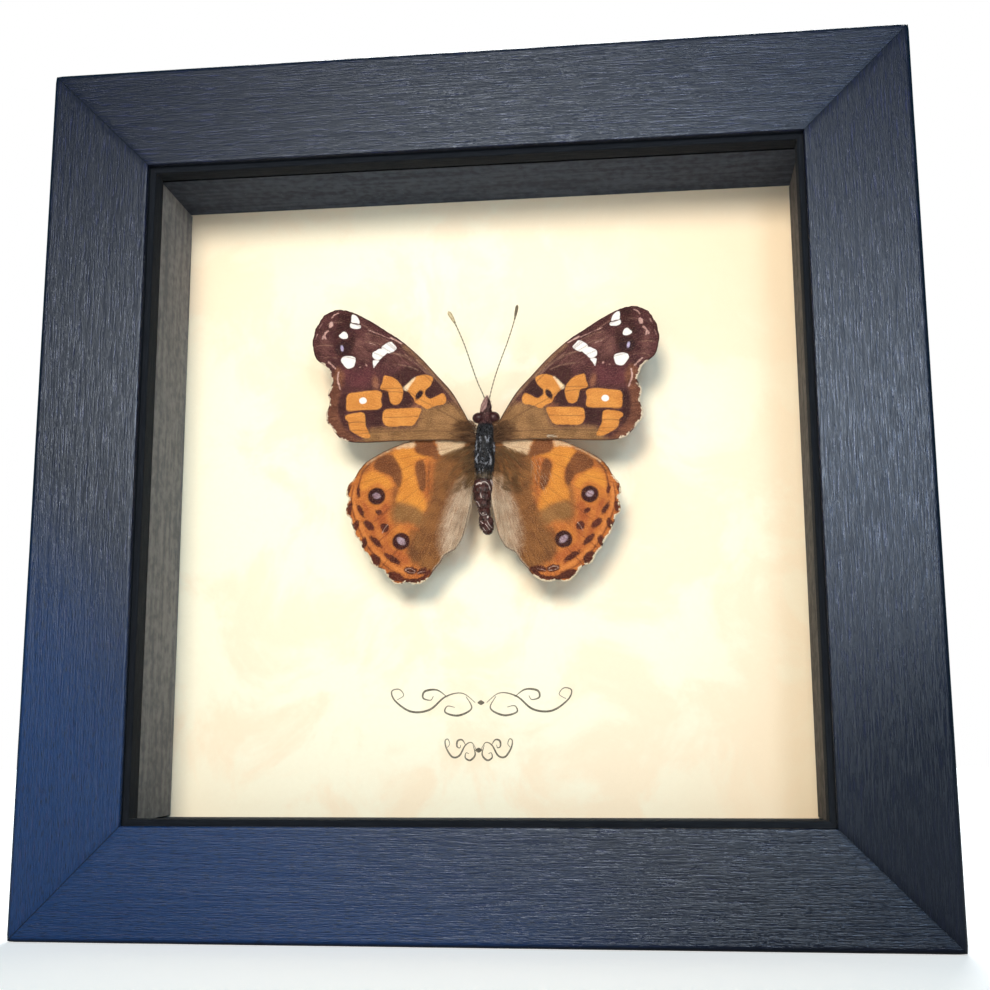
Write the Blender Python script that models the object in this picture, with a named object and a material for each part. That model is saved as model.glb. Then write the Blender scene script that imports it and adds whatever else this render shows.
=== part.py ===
"""A square shadow-box frame with one spread butterfly behind glass.

The frame stands on its lower edge with its face towards -Y. Heights run up +Z from that edge, and the
origin is under the middle of the object's whole depth. Sizes are in millimetres up to the last step,
where MM turns them into metres.
"""

import math

import bmesh
import bpy
from mathutils import Matrix, Vector

MM = 0.001

# Driving sizes, in millimetres
SIDE = 140.0            # outer side of the square frame
FACE_WIDTH = 17.0       # width of the moulding's flat front
DEPTH = 30.0            # front face to back face
STEP_DEPTH = 1.3        # drop from the front face to the inner step
STEP_WIDTH = 0.95       # width of that step
LIP_DEPTH = 4.5         # front face to the back of the lip
RABBET_COVER = 3.75     # how far the lip covers the rabbet
ARRIS = 0.8             # rounding of the outer front edge
SMALL_ARRIS = 0.25      # rounding of the other long edges
MITRE_GAP = 0.2         # width of the joint line between two rails
GAP = 0.3               # clearance between pieces that touch

GLASS_THICKNESS = 2.0
CARD_FACE_DEPTH = 22.0  # front face of the frame to the face of the card
CARD_THICKNESS = 1.5
PANEL_THICKNESS = 3.0
SPACER_THICKNESS = 2.5
VIEW_HALF = 52.95       # half the side of the card that shows between the spacers

HANGER_LENGTH = 44.0
HANGER_HEIGHT = 9.0
HANGER_SHEET = 0.8
HANGER_STANDOFF = 1.2   # how far the toothed middle stands off the wood
HANGER_END = 7.0        # length of each flat end
TOOTH_PITCH = 3.0
TOOTH_DEPTH = 1.6
NAIL_HEAD_RADIUS = 1.7
NAIL_HEAD_HEIGHT = 0.7
NAIL_RADIUS = 0.6
NAIL_LENGTH = 9.0

POINT_LENGTH = 9.0
POINT_WIDTH = 6.0
POINT_SHEET = 0.5
POINT_OFFSET = 28.0     # distance of each point above or below the middle

# The butterfly: its own axes lie in a plane that stands off the card, u out to a side, v up the body
BODY_X = 1.12
BODY_Z = 77.95
BODY_TURN = math.radians(-1.1)
SPECIMEN_STANDOFF = 5.5
SPECIMEN_SCALE = 0.971   # size of the butterfly against the lengths below
BODY_RISE = 4.0         # middle of the thorax above the butterfly's plane
WING_THICKNESS = 0.3
FOREWING_RISE = 4.6
HINDWING_RISE = 3.7
WING_LIFT = 0.025       # how much a wing rises for each millimetre out from the body
WING_RINGS = 5
PAD_SIDE = 3.2

# Outlines of a wing from its front hinge round the tip to its rear hinge, as (u, v)
FOREWING_OUTLINE = [
    (3.2, 5.0), (5.3, 8.1), (8.0, 10.9), (11.0, 14.1), (14.1, 16.9), (17.5, 19.2), (20.7, 21.3),
    (23.1, 22.5), (25.3, 22.9), (27.4, 22.4), (28.8, 21.2), (29.7, 19.0), (30.0, 16.6), (29.3, 14.4),
    (27.7, 12.9), (26.6, 11.5), (26.3, 9.9), (26.9, 8.2), (26.7, 6.3), (27.2, 4.5), (26.8, 2.8),
    (25.6, 1.3), (24.3, 0.0), (22.0, -0.5), (18.5, -0.5), (14.0, -0.3), (9.5, -0.2), (5.5, -0.1),
]
HINDWING_OUTLINE = [
    (5.5, 0.9), (9.0, 0.9), (12.0, 0.3), (14.6, -0.7), (17.1, -1.8), (19.4, -3.0), (20.9, -4.4),
    (22.4, -6.8), (23.3, -9.2), (23.4, -12.2), (22.3, -14.9), (20.9, -17.4), (19.1, -20.0),
    (16.8, -22.3), (14.4, -24.2), (11.5, -24.4), (9.4, -23.9), (8.0, -22.3), (6.8, -20.1),
    (5.0, -18.5), (3.4, -16.4), (2.4, -13.0), (1.9, -9.6), (2.0, -6.4),
]
FOREWING_HINGE = (2.0, 1.6)
HINDWING_HINGE = (2.2, -1.6)
HINGE_START = 0.14      # share of the way out from the hinge where a wing begins

# The body from tail to head: (v, half width, half height, sideways bend)
BODY_STATIONS = [
    (-16.3, 0.35, 0.35, 0.85), (-15.9, 0.80, 0.70, 0.80), (-15.0, 1.20, 0.95, 0.60),
    (-14.0, 1.25, 1.05, 0.55), (-12.7, 1.00, 1.00, 0.25), (-11.5, 1.10, 1.00, 0.10),
    (-9.8, 1.50, 1.15, -0.20), (-7.6, 1.65, 1.15, -0.05), (-6.2, 1.20, 1.00, 0.05),
    (-5.4, 1.35, 1.20, 0.10), (-3.8, 1.60, 1.70, 0.10), (-1.5, 1.65, 1.90, 0.10),
    (0.8, 1.60, 1.85, 0.10), (2.0, 1.45, 1.55, 0.20), (2.7, 1.60, 1.25, 0.30),
    (3.6, 1.95, 1.25, 0.30), (4.4, 1.80, 1.15, 0.30), (4.9, 1.15, 0.95, 0.30),
    (5.8, 0.80, 0.75, 0.35), (6.6, 0.55, 0.50, 0.45), (7.4, 0.18, 0.18, 0.50),
]
BODY_SIDES = 14

# Antennae from the head to the club: (u, v, radius)
ANTENNA_LEFT = [
    (0.25, 7.6, 0.12), (1.2, 9.8, 0.12), (2.4, 13.0, 0.12), (3.6, 16.4, 0.12), (5.0, 19.6, 0.14),
    (5.8, 21.1, 0.32), (6.4, 22.1, 0.24),
]
ANTENNA_RIGHT = [
    (0.95, 7.6, 0.12), (1.5, 10.0, 0.12), (2.5, 13.0, 0.12), (3.8, 16.6, 0.12), (4.8, 19.8, 0.14),
    (5.2, 21.6, 0.30), (5.45, 23.0, 0.16),
]
ANTENNA_RISE = 4.4
ANTENNA_LIFT = 0.05     # how much an antenna rises for each millimetre of its length

HALF = SIDE / 2.0
LIP_EDGE = HALF - FACE_WIDTH - STEP_WIDTH
RABBET_WALL = LIP_EDGE + RABBET_COVER
SHEET_HALF = RABBET_WALL - GAP
TOTAL_DEPTH = DEPTH + GAP + HANGER_STANDOFF + HANGER_SHEET
FRONT_Y = -TOTAL_DEPTH / 2.0
BACK_Y = FRONT_Y + DEPTH
CARD_Y = FRONT_Y + CARD_FACE_DEPTH


def clear_scene():
    """Remove whatever the scene holds."""
    for thing in list(bpy.data.objects):
        bpy.data.objects.remove(thing, do_unlink=True)


def material(name, colour, roughness, metallic=0.0, alpha=1.0):
    """Make a Principled material from a linear colour."""
    made = bpy.data.materials.new(name)
    made.use_nodes = True
    shader = made.node_tree.nodes["Principled BSDF"]
    shader.inputs["Base Color"].default_value = (*colour, 1.0)
    shader.inputs["Roughness"].default_value = roughness
    shader.inputs["Metallic"].default_value = metallic
    shader.inputs["Alpha"].default_value = alpha
    return made


def add_object(name, bm, mat, place=(0.0, 0.0, 0.0)):
    """Turn a bmesh in millimetres into a named object in metres."""
    bmesh.ops.recalc_face_normals(bm, faces=bm.faces)
    bmesh.ops.scale(bm, vec=(MM, MM, MM), verts=bm.verts)
    mesh = bpy.data.meshes.new(name)
    bm.to_mesh(mesh)
    bm.free()
    mesh.materials.append(mat)
    thing = bpy.data.objects.new(name, mesh)
    thing.location = Vector(place) * MM
    bpy.context.collection.objects.link(thing)
    return thing


def block(name, low, high, mat, arris=0.0):
    """A straight-sided piece between two corners, placed by its middle."""
    low, high = Vector(low), Vector(high)
    size = high - low
    bm = bmesh.new()
    bmesh.ops.create_cube(bm, size=1.0)
    bmesh.ops.scale(bm, vec=size, verts=bm.verts)
    thing = add_object(name, bm, mat, (low + high) / 2.0)
    if arris:
        bevel = thing.modifiers.new("arris", "BEVEL")
        bevel.width = arris * MM
        bevel.segments = 1
    return thing


def corner_arc(centre, radius, start, end, steps):
    """Points of a rounded corner, with angles in degrees."""
    points = []
    for step in range(steps + 1):
        angle = math.radians(start + (end - start) * step / steps)
        points.append((centre[0] + radius * math.cos(angle), centre[1] + radius * math.sin(angle)))
    return points


def rail_section():
    """The moulding's section as (distance from the frame's middle, depth from the front face)."""
    face_edge = HALF - FACE_WIDTH
    small = SMALL_ARRIS
    section = []
    section += corner_arc((face_edge + small, small), small, 180, 270, 2)
    section += corner_arc((HALF - ARRIS, ARRIS), ARRIS, -90, 0, 4)
    section += corner_arc((HALF - small, DEPTH - small), small, 0, 90, 2)
    section += [(RABBET_WALL, DEPTH), (RABBET_WALL, LIP_DEPTH), (LIP_EDGE, LIP_DEPTH)]
    section += corner_arc((LIP_EDGE + small, STEP_DEPTH + small), small, 180, 270, 2)
    section += [(face_edge, STEP_DEPTH)]
    return section


def rail(name, turn, mat):
    """One mitred rail, made as the top one and turned about the frame's middle."""
    bm = bmesh.new()
    ends = []
    for side in (-1.0, 1.0):
        ring = []
        for reach, depth in rail_section():
            along = side * (reach - MITRE_GAP / math.sqrt(2.0))
            ring.append(bm.verts.new((along, depth, reach)))
        ends.append(ring)
        bm.faces.new(ring)
    count = len(ends[0])
    for i in range(count):
        j = (i + 1) % count
        bm.faces.new((ends[0][i], ends[0][j], ends[1][j], ends[1][i]))
    bmesh.ops.rotate(bm, verts=bm.verts, matrix=Matrix.Rotation(math.radians(turn), 3, "Y"))
    return add_object(name, bm, mat, (0.0, FRONT_Y, HALF))


def cutter(name, radius, start, end, x, z):
    """A hidden round cutter along Y, between two depths behind the front of the frame."""
    bm = bmesh.new()
    bmesh.ops.create_cone(bm, cap_ends=True, segments=12, radius1=radius, radius2=radius, depth=end - start)
    bmesh.ops.rotate(bm, verts=bm.verts, matrix=Matrix.Rotation(math.radians(90), 3, "X"))
    middle = (start + end) / 2.0
    thing = add_object(name, bm, MATERIALS["steel"], (x, middle, z))
    thing.hide_render = True
    thing.display_type = "WIRE"
    return thing


def cut(thing, tool):
    """Take a cutter's shape out of a piece."""
    step = thing.modifiers.new("cut", "BOOLEAN")
    step.operation = "DIFFERENCE"
    step.solver = "EXACT"
    step.object = tool


def build_frame():
    """Four rails, the top one first."""
    wood = MATERIALS["stained_wood"]
    rails = {}
    for name, turn in (("top", 0), ("right", 90), ("bottom", 180), ("left", 270)):
        rails[name] = rail("frame_rail_" + name, turn, wood)
    return rails


def build_glazing():
    """The pane, the spacer strips, the card and the back panel, from front to back."""
    glass_y = FRONT_Y + LIP_DEPTH + GAP
    spacer_front = glass_y + GLASS_THICKNESS + GAP
    spacer_back = CARD_Y - GAP
    low, high = HALF - SHEET_HALF, HALF + SHEET_HALF
    block("glass", (-SHEET_HALF, glass_y, low), (SHEET_HALF, glass_y + GLASS_THICKNESS, high),
          MATERIALS["glass"], 0.15)
    strip = MATERIALS["painted_strip"]
    outer = VIEW_HALF + SPACER_THICKNESS
    block("spacer_top", (-outer, spacer_front, HALF + VIEW_HALF), (outer, spacer_back, HALF + outer), strip)
    block("spacer_bottom", (-outer, spacer_front, HALF - outer), (outer, spacer_back, HALF - VIEW_HALF), strip)
    reach = VIEW_HALF - GAP
    for name, sign in (("spacer_left", -1.0), ("spacer_right", 1.0)):
        near, far = sorted((sign * VIEW_HALF, sign * outer))
        block(name, (near, spacer_front, HALF - reach), (far, spacer_back, HALF + reach), strip)
    block("backing_card", (-SHEET_HALF, CARD_Y, low), (SHEET_HALF, CARD_Y + CARD_THICKNESS, high),
          MATERIALS["card"])
    panel_y = CARD_Y + CARD_THICKNESS + GAP
    block("back_panel", (-SHEET_HALF, panel_y, low), (SHEET_HALF, panel_y + PANEL_THICKNESS, high),
          MATERIALS["hardboard"], 0.3)
    return panel_y + PANEL_THICKNESS


def point(name, side, z, back_of_panel):
    """A flat pointed tab with its butt against the rabbet wall and its tip over the panel."""
    bm = bmesh.new()
    half = POINT_WIDTH / 2.0
    outline = [(0.0, -half), (0.55 * POINT_LENGTH, -half), (POINT_LENGTH, 0.0), (0.55 * POINT_LENGTH, half),
               (0.0, half)]
    face = bm.faces.new([bm.verts.new((-side * along, 0.0, across)) for along, across in outline])
    grown = bmesh.ops.extrude_face_region(bm, geom=[face])
    lifted = [part for part in grown["geom"] if isinstance(part, bmesh.types.BMVert)]
    bmesh.ops.translate(bm, vec=(0.0, POINT_SHEET, 0.0), verts=lifted)
    return add_object(name, bm, MATERIALS["steel"], (side * SHEET_HALF, back_of_panel + GAP, z))


def build_points(back_of_panel):
    """Two points on each side of the panel."""
    for side_name, side in (("left", -1.0), ("right", 1.0)):
        for level_name, level in (("upper", POINT_OFFSET), ("lower", -POINT_OFFSET)):
            point("point_" + side_name + "_" + level_name, side, HALF + level, back_of_panel)


def hanger_stations():
    """Stops along the hanger as (x, stand-off, lower edge)."""
    half = HANGER_LENGTH / 2.0
    inner = half - HANGER_END
    ramp = 2.0
    teeth = int((2.0 * (inner - ramp)) / TOOTH_PITCH)
    start = -teeth * TOOTH_PITCH / 2.0
    stations = [(-half, 0.0, 0.0), (-inner, 0.0, 0.0)]
    for tooth in range(teeth):
        x = start + tooth * TOOTH_PITCH
        stations.append((x, HANGER_STANDOFF, 0.0))
        stations.append((x + TOOTH_PITCH / 2.0, HANGER_STANDOFF, TOOTH_DEPTH))
    stations.append((-start, HANGER_STANDOFF, 0.0))
    stations += [(inner, 0.0, 0.0), (half, 0.0, 0.0)]
    return stations


def build_hanger(top_rail):
    """The sawtooth hanger and its nails on the back of the top rail."""
    z = SIDE - FACE_WIDTH / 2.0
    bm = bmesh.new()
    rings = []
    for x, standoff, lower in hanger_stations():
        low, high = lower - HANGER_HEIGHT / 2.0, HANGER_HEIGHT / 2.0
        corners = [(standoff, low), (standoff, high), (standoff + HANGER_SHEET, high),
                   (standoff + HANGER_SHEET, low)]
        rings.append([bm.verts.new((x, y, height)) for y, height in corners])
    bm.faces.new(rings[0])
    bm.faces.new(rings[-1])
    for ring, following in zip(rings, rings[1:]):
        for i in range(4):
            j = (i + 1) % 4
            bm.faces.new((ring[i], ring[j], following[j], following[i]))
    hanger_y = BACK_Y + GAP
    hanger = add_object("sawtooth_hanger", bm, MATERIALS["brass"], (0.0, hanger_y, z))
    for name, side in (("left", -1.0), ("right", 1.0)):
        x = side * (HANGER_LENGTH - HANGER_END) / 2.0
        hole = cutter("nail_hole_" + name, NAIL_RADIUS + GAP, BACK_Y - NAIL_LENGTH,
                      BACK_Y + HANGER_SHEET + 2.0 * GAP, x, z)
        cut(hanger, hole)
        cut(top_rail, hole)
        nail("hanger_nail_" + name, x, hanger_y + HANGER_SHEET + GAP, z)


def nail(name, x, y, z):
    """A small wire nail with a flat round head, its head's underside at the given depth."""
    bm = bmesh.new()
    profile = [(0.0, NAIL_HEAD_HEIGHT), (0.6 * NAIL_HEAD_RADIUS, NAIL_HEAD_HEIGHT),
               (NAIL_HEAD_RADIUS, 0.4 * NAIL_HEAD_HEIGHT), (NAIL_HEAD_RADIUS, 0.0), (NAIL_RADIUS, 0.0),
               (NAIL_RADIUS, 1.5 - NAIL_LENGTH), (0.0, 0.5 - NAIL_LENGTH)]
    spine = [bm.verts.new((radius, along, 0.0)) for radius, along in profile]
    edges = [bm.edges.new(pair) for pair in zip(spine, spine[1:])]
    bmesh.ops.spin(bm, geom=spine + edges, cent=(0, 0, 0), axis=(0, 1, 0), angle=math.tau, steps=14,
                   use_merge=True, use_duplicate=False)
    bmesh.ops.remove_doubles(bm, verts=bm.verts, dist=0.0001)
    return add_object(name, bm, MATERIALS["steel"], (x, y, z))


def smooth_curve(points, steps):
    """Points of an open Catmull-Rom curve through the given ones, ends included."""
    ends = [points[0]] + list(points) + [points[-1]]
    curve = []
    for a, b, c, d in zip(ends, ends[1:], ends[2:], ends[3:]):
        a, b, c, d = Vector(a), Vector(b), Vector(c), Vector(d)
        for step in range(steps):
            t = step / steps
            curve.append(0.5 * (2 * b + (c - a) * t + (2 * a - 5 * b + 4 * c - d) * t * t
                                + (3 * b - a - 3 * c + d) * t ** 3))
    curve.append(Vector(points[-1]))
    return curve


def specimen_empty():
    """The butterfly's own frame: X across it, Z up its body, -Y out of the card."""
    empty = bpy.data.objects.new("specimen", None)
    empty.location = Vector((BODY_X, CARD_Y - SPECIMEN_STANDOFF, BODY_Z)) * MM
    empty.rotation_euler = (0.0, -BODY_TURN, 0.0)
    empty.scale = (SPECIMEN_SCALE, SPECIMEN_SCALE, SPECIMEN_SCALE)
    bpy.context.collection.objects.link(empty)
    return empty


def wing(name, side, outline, hinge, rise, mat, specimen):
    """A thin curved wing, a fan of strips from its hinge out to its margin."""
    hinge = Vector(hinge)
    margin = [Vector(spot) for spot in outline]
    bm = bmesh.new()
    rings = []
    for ring in range(WING_RINGS + 1):
        share = HINGE_START + (1.0 - HINGE_START) * ring / WING_RINGS
        row = []
        for edge in margin:
            spot = hinge + (edge - hinge) * share
            height = rise + WING_LIFT * spot.x
            row.append(bm.verts.new((side * spot.x, -height, spot.y)))
        rings.append(row)
    for inner, outer in zip(rings, rings[1:]):
        for i in range(len(inner) - 1):
            bm.faces.new((inner[i], inner[i + 1], outer[i + 1], outer[i]))
    thing = add_object(name, bm, mat)
    solid = thing.modifiers.new("thickness", "SOLIDIFY")
    solid.thickness = WING_THICKNESS * MM
    solid.offset = 0.0
    thing.parent = specimen
    return thing


def body(specimen):
    """Head, thorax and abdomen as one skin of rings."""
    bm = bmesh.new()
    rings = []
    for v, half_width, half_height, bend in BODY_STATIONS:
        ring = []
        for i in range(BODY_SIDES):
            angle = math.tau * i / BODY_SIDES
            across = bend + half_width * math.cos(angle)
            ring.append(bm.verts.new((across, -BODY_RISE - half_height * math.sin(angle), v)))
        rings.append(ring)
    bm.faces.new(rings[0])
    bm.faces.new(rings[-1])
    for ring, following in zip(rings, rings[1:]):
        for i in range(BODY_SIDES):
            j = (i + 1) % BODY_SIDES
            bm.faces.new((ring[i], ring[j], following[j], following[i]))
    thing = add_object("butterfly_body", bm, MATERIALS["chitin"])
    thing.data.shade_smooth()
    thing.parent = specimen
    return thing


def antenna(name, side, route, specimen):
    """A thin stalk that thickens into a club, as a round curve with closed ends."""
    curve = bpy.data.curves.new(name, "CURVE")
    curve.dimensions = "3D"
    curve.bevel_depth = MM
    curve.bevel_resolution = 1
    curve.use_fill_caps = True
    points = smooth_curve(route, 2)
    spline = curve.splines.new("POLY")
    spline.points.add(len(points) - 1)
    base = points[0].y
    for place, (u, v, radius) in zip(spline.points, points):
        height = ANTENNA_RISE + ANTENNA_LIFT * (v - base)
        place.co = (side * u * MM, -height * MM, v * MM, 1.0)
        place.radius = radius
    curve.materials.append(MATERIALS["chitin"])
    thing = bpy.data.objects.new(name, curve)
    thing.parent = specimen
    bpy.context.collection.objects.link(thing)
    return thing


def build_specimen():
    """The butterfly and the pad that holds it off the card."""
    specimen = specimen_empty()
    for name, side in (("left", -1.0), ("right", 1.0)):
        wing("forewing_" + name, side, FOREWING_OUTLINE, FOREWING_HINGE, FOREWING_RISE,
             MATERIALS["forewing"], specimen)
        wing("hindwing_" + name, side, HINDWING_OUTLINE, HINDWING_HINGE, HINDWING_RISE,
             MATERIALS["hindwing"], specimen)
    body(specimen)
    antenna("antenna_left", -1.0, ANTENNA_LEFT, specimen)
    antenna("antenna_right", 1.0, ANTENNA_RIGHT, specimen)
    half = PAD_SIDE / 2.0
    underside = BODY_RISE - max(station[2] for station in BODY_STATIONS)
    height = SPECIMEN_STANDOFF + SPECIMEN_SCALE * underside - GAP
    block("mounting_pad", (BODY_X - half, CARD_Y - height, BODY_Z - half),
          (BODY_X + half, CARD_Y - GAP, BODY_Z + half), MATERIALS["foam"])


clear_scene()
MATERIALS = {
    "stained_wood": material("stained_wood", (0.018, 0.026, 0.048), 0.42),
    "glass": material("glass", (0.95, 0.98, 0.97), 0.03, alpha=0.1),
    "painted_strip": material("painted_strip", (0.035, 0.036, 0.035), 0.6),
    "card": material("card", (0.93, 0.87, 0.74), 0.8),
    "hardboard": material("hardboard", (0.16, 0.085, 0.04), 0.75),
    "steel": material("steel", (0.55, 0.56, 0.57), 0.35, metallic=1.0),
    "brass": material("brass", (0.62, 0.46, 0.2), 0.35, metallic=1.0),
    "foam": material("foam", (0.8, 0.8, 0.78), 0.9),
    "chitin": material("chitin", (0.02, 0.016, 0.016), 0.5),
    "forewing": material("forewing", (0.09, 0.03, 0.03), 0.7),
    "hindwing": material("hindwing", (0.5, 0.18, 0.04), 0.7),
}
frame_rails = build_frame()
panel_back = build_glazing()
build_points(panel_back)
build_hanger(frame_rails["top"])
build_specimen()
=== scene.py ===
"""Looks for a framed butterfly: stained wood, glass, parchment card and one spread painted lady.

Lengths in this script are millimetres unless a name says otherwise. The butterfly has its own flat
frame: u across its body, v up its body and h out of the card. The CAD's mounting pad marks its middle.
"""

import math

import bpy
import numpy as np
from mathutils import Matrix, Vector
from mathutils.geometry import delaunay_2d_cdt


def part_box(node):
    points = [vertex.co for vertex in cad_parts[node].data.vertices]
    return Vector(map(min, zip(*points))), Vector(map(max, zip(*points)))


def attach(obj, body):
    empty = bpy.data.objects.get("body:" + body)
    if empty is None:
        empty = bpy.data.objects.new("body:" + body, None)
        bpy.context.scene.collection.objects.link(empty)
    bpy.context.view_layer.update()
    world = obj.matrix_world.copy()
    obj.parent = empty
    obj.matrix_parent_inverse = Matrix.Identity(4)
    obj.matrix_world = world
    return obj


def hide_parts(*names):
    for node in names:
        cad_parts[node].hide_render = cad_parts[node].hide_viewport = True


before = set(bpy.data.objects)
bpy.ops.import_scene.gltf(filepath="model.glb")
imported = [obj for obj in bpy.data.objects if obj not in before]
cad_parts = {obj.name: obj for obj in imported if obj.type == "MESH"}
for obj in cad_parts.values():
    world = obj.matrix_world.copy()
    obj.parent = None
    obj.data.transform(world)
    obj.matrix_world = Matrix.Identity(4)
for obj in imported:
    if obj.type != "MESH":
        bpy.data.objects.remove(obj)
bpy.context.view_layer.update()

MM = 0.001
SEED = 7
SIDES = (("left", -1.0), ("right", 1.0))
LINE_SPACING = 0.12     # distance between neighbouring points of a drawn line

# ---------------------------------------------------------------- places read from the frame
def corners(node):
    """Lowest and highest corner of a CAD piece in millimetres."""
    return [Vector(corner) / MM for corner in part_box(node)]


RAIL_LOW, RAIL_HIGH = corners("frame_rail_top")
SIDE = RAIL_HIGH.z
HALF = SIDE / 2.0
FRONT_Y = RAIL_LOW.y
DEPTH = RAIL_HIGH.y - RAIL_LOW.y
CARD_Y = corners("backing_card")[0].y
PAD_LOW, PAD_HIGH = corners("mounting_pad")
BODY_X = (PAD_LOW.x + PAD_HIGH.x) / 2.0
BODY_Z = (PAD_LOW.z + PAD_HIGH.z) / 2.0
BODY_TURN = math.radians(1.1)
SPECIMEN_SCALE = 0.971  # size of the butterfly against the lengths of its own frame
THORAX_UNDERSIDE = 2.1  # height of the thorax's lowest point in the butterfly's frame
SPECIMEN_Y = PAD_LOW.y + SPECIMEN_SCALE * THORAX_UNDERSIDE


# ---------------------------------------------------------------- small numeric tools
def smooth(low, high, value):
    """Smooth step from 0 at low to 1 at high."""
    t = np.clip((value - low) / (high - low), 0.0, 1.0)
    return t * t * (3.0 - 2.0 * t)


def lattice_noise(x, y, seed):
    """Smooth noise between -1 and 1 with one bump to a unit."""
    rng = np.random.default_rng(seed)
    table = rng.uniform(-1.0, 1.0, (256, 256))
    xi, yi = np.floor(x).astype(int), np.floor(y).astype(int)
    fx, fy = smooth(0.0, 1.0, x - xi), smooth(0.0, 1.0, y - yi)
    a, b = table[xi % 256, yi % 256], table[(xi + 1) % 256, yi % 256]
    c, d = table[xi % 256, (yi + 1) % 256], table[(xi + 1) % 256, (yi + 1) % 256]
    return (a * (1 - fx) + b * fx) * (1 - fy) + (c * (1 - fx) + d * fx) * fy


def unit(rows):
    """Vectors scaled to length 1."""
    return rows / np.linalg.norm(rows, axis=1)[:, None]


def travelled(line):
    """Distance along a line from its start to each of its points."""
    return np.concatenate([[0.0], np.cumsum(np.linalg.norm(np.diff(line, axis=0), axis=1))])


def curve_through(points, steps=4, closed=True):
    """Points of a Catmull-Rom curve through the given ones."""
    p = np.asarray(points, float)
    ring = np.vstack([p[-1:], p, p[:2]]) if closed else np.vstack([p[:1], p, p[-1:]])
    out = []
    for a, b, c, d in zip(ring, ring[1:], ring[2:], ring[3:]):
        for t in np.arange(steps) / steps:
            out.append(0.5 * (2 * b + (c - a) * t + (2 * a - 5 * b + 4 * c - d) * t ** 2
                              + (3 * b - a - 3 * c + d) * t ** 3))
    if not closed:
        out.append(p[-1])
    return np.array(out)


def resampled(points, spacing, closed=True):
    """The same line with points at an even spacing."""
    p = np.vstack([points, points[:1]]) if closed else np.asarray(points)
    along = travelled(p)
    count = max(3, int(round(along[-1] / spacing)))
    stops = np.linspace(0.0, along[-1], count + 1)
    line = np.stack([np.interp(stops, along, p[:, k]) for k in range(p.shape[1])], 1)
    return line[:-1] if closed else line


def drawn(route):
    """A smooth open line through a route, with closely spaced points."""
    return resampled(curve_through(route, 8, closed=False), LINE_SPACING, closed=False)


def line_distance(spots, line, closed=False):
    """Distance of each spot to a line of points."""
    p = np.asarray(line, float)
    q = np.roll(p, -1, axis=0) if closed else p[1:]
    p = p if closed else p[:-1]
    best = np.full(len(spots), np.inf)
    for a, b in zip(p, q):
        d = b - a
        t = np.clip(((spots - a) @ d) / max(d @ d, 1e-12), 0.0, 1.0)
        best = np.minimum(best, np.linalg.norm(spots - a - t[:, None] * d, axis=1))
    return best


def area_cover(spots, outline):
    """Depth inside a closed outline: positive inside, negative outside, in millimetres."""
    p = np.asarray(outline, float)
    q = np.roll(p, -1, axis=0)
    inside = np.zeros(len(spots), bool)
    x, y = spots[:, 0], spots[:, 1]
    for (ax, ay), (bx, by) in zip(p, q):
        crosses = (ay > y) != (by > y)
        with np.errstate(divide="ignore", invalid="ignore"):
            hit = x < (bx - ax) * (y - ay) / (by - ay) + ax
        inside ^= crosses & hit
    distance = line_distance(spots, p, closed=True)
    return np.where(inside, distance, -distance)


def oval_cover(spots, u, v, long, short, turn):
    """Depth inside an ellipse whose long axis is turned by so many degrees."""
    a = math.radians(turn)
    d = spots - np.array([u, v])
    along = d[:, 0] * math.cos(a) + d[:, 1] * math.sin(a)
    across = -d[:, 0] * math.sin(a) + d[:, 1] * math.cos(a)
    return (1.0 - np.hypot(along / long, across / short)) * min(long, short)


def stroke_cover(spots, route, width):
    """Depth inside a stroke of one width along a smooth route."""
    return width / 2.0 - line_distance(spots, curve_through(route, 3, closed=False))


def patch_cover(spots, outline):
    """Depth inside a patch with a smooth outline."""
    return area_cover(spots, curve_through(outline, 3))


# ---------------------------------------------------------------- meshes
def add_mesh(name, points, faces, materials, shade_smooth=True):
    """A mesh object from points in millimetres."""
    mesh = bpy.data.meshes.new(name)
    mesh.from_pydata((np.asarray(points, float) * MM).tolist(), [], [list(map(int, f)) for f in faces])
    for mat in materials:
        mesh.materials.append(mat)
    if shade_smooth:
        mesh.shade_smooth()
    thing = bpy.data.objects.new(name, mesh)
    bpy.context.collection.objects.link(thing)
    return thing


def add_field(thing, name, values):
    """A value, or a vector, for each point of a mesh, which its material reads by name."""
    values = np.asarray(values, np.float32)
    kind = "FLOAT" if values.ndim == 1 else "FLOAT_VECTOR"
    layer = thing.data.attributes.new(name, kind, "POINT")
    layer.data.foreach_set("value" if values.ndim == 1 else "vector", values.ravel())


def finish_piece(thing, slot, *nodes):
    """Fix a piece to the object and hide the CAD nodes that it stands for; the slot it is given is not used.
    """
    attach(thing, "root")
    if nodes:
        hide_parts(*nodes)


def on_card(u, h, v):
    """Points of the butterfly's frame as points of the row frame, all in millimetres."""
    u, h, v = (SPECIMEN_SCALE * a for a in np.broadcast_arrays(np.asarray(u, float), h, v))
    x = BODY_X + u * math.cos(BODY_TURN) + v * math.sin(BODY_TURN)
    z = BODY_Z - u * math.sin(BODY_TURN) + v * math.cos(BODY_TURN)
    return np.stack([x, SPECIMEN_Y - h, z], -1)


def tube_faces(rows, sides):
    """Faces of a tube of rings, with both ends closed."""
    faces = []
    for row in range(rows - 1):
        for i in range(sides):
            j = (i + 1) % sides
            faces.append((row * sides + i, row * sides + j, (row + 1) * sides + j, (row + 1) * sides + i))
    faces.append(range(sides - 1, -1, -1))
    faces.append(range((rows - 1) * sides, rows * sides))
    return faces


# ---------------------------------------------------------------- materials
def colour(r, g, b):
    """A linear colour from the usual 0 to 255 values."""
    return tuple((c / 255.0 / 12.92) if c <= 10 else ((c / 255.0 + 0.055) / 1.055) ** 2.4 for c in (r, g, b))


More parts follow.
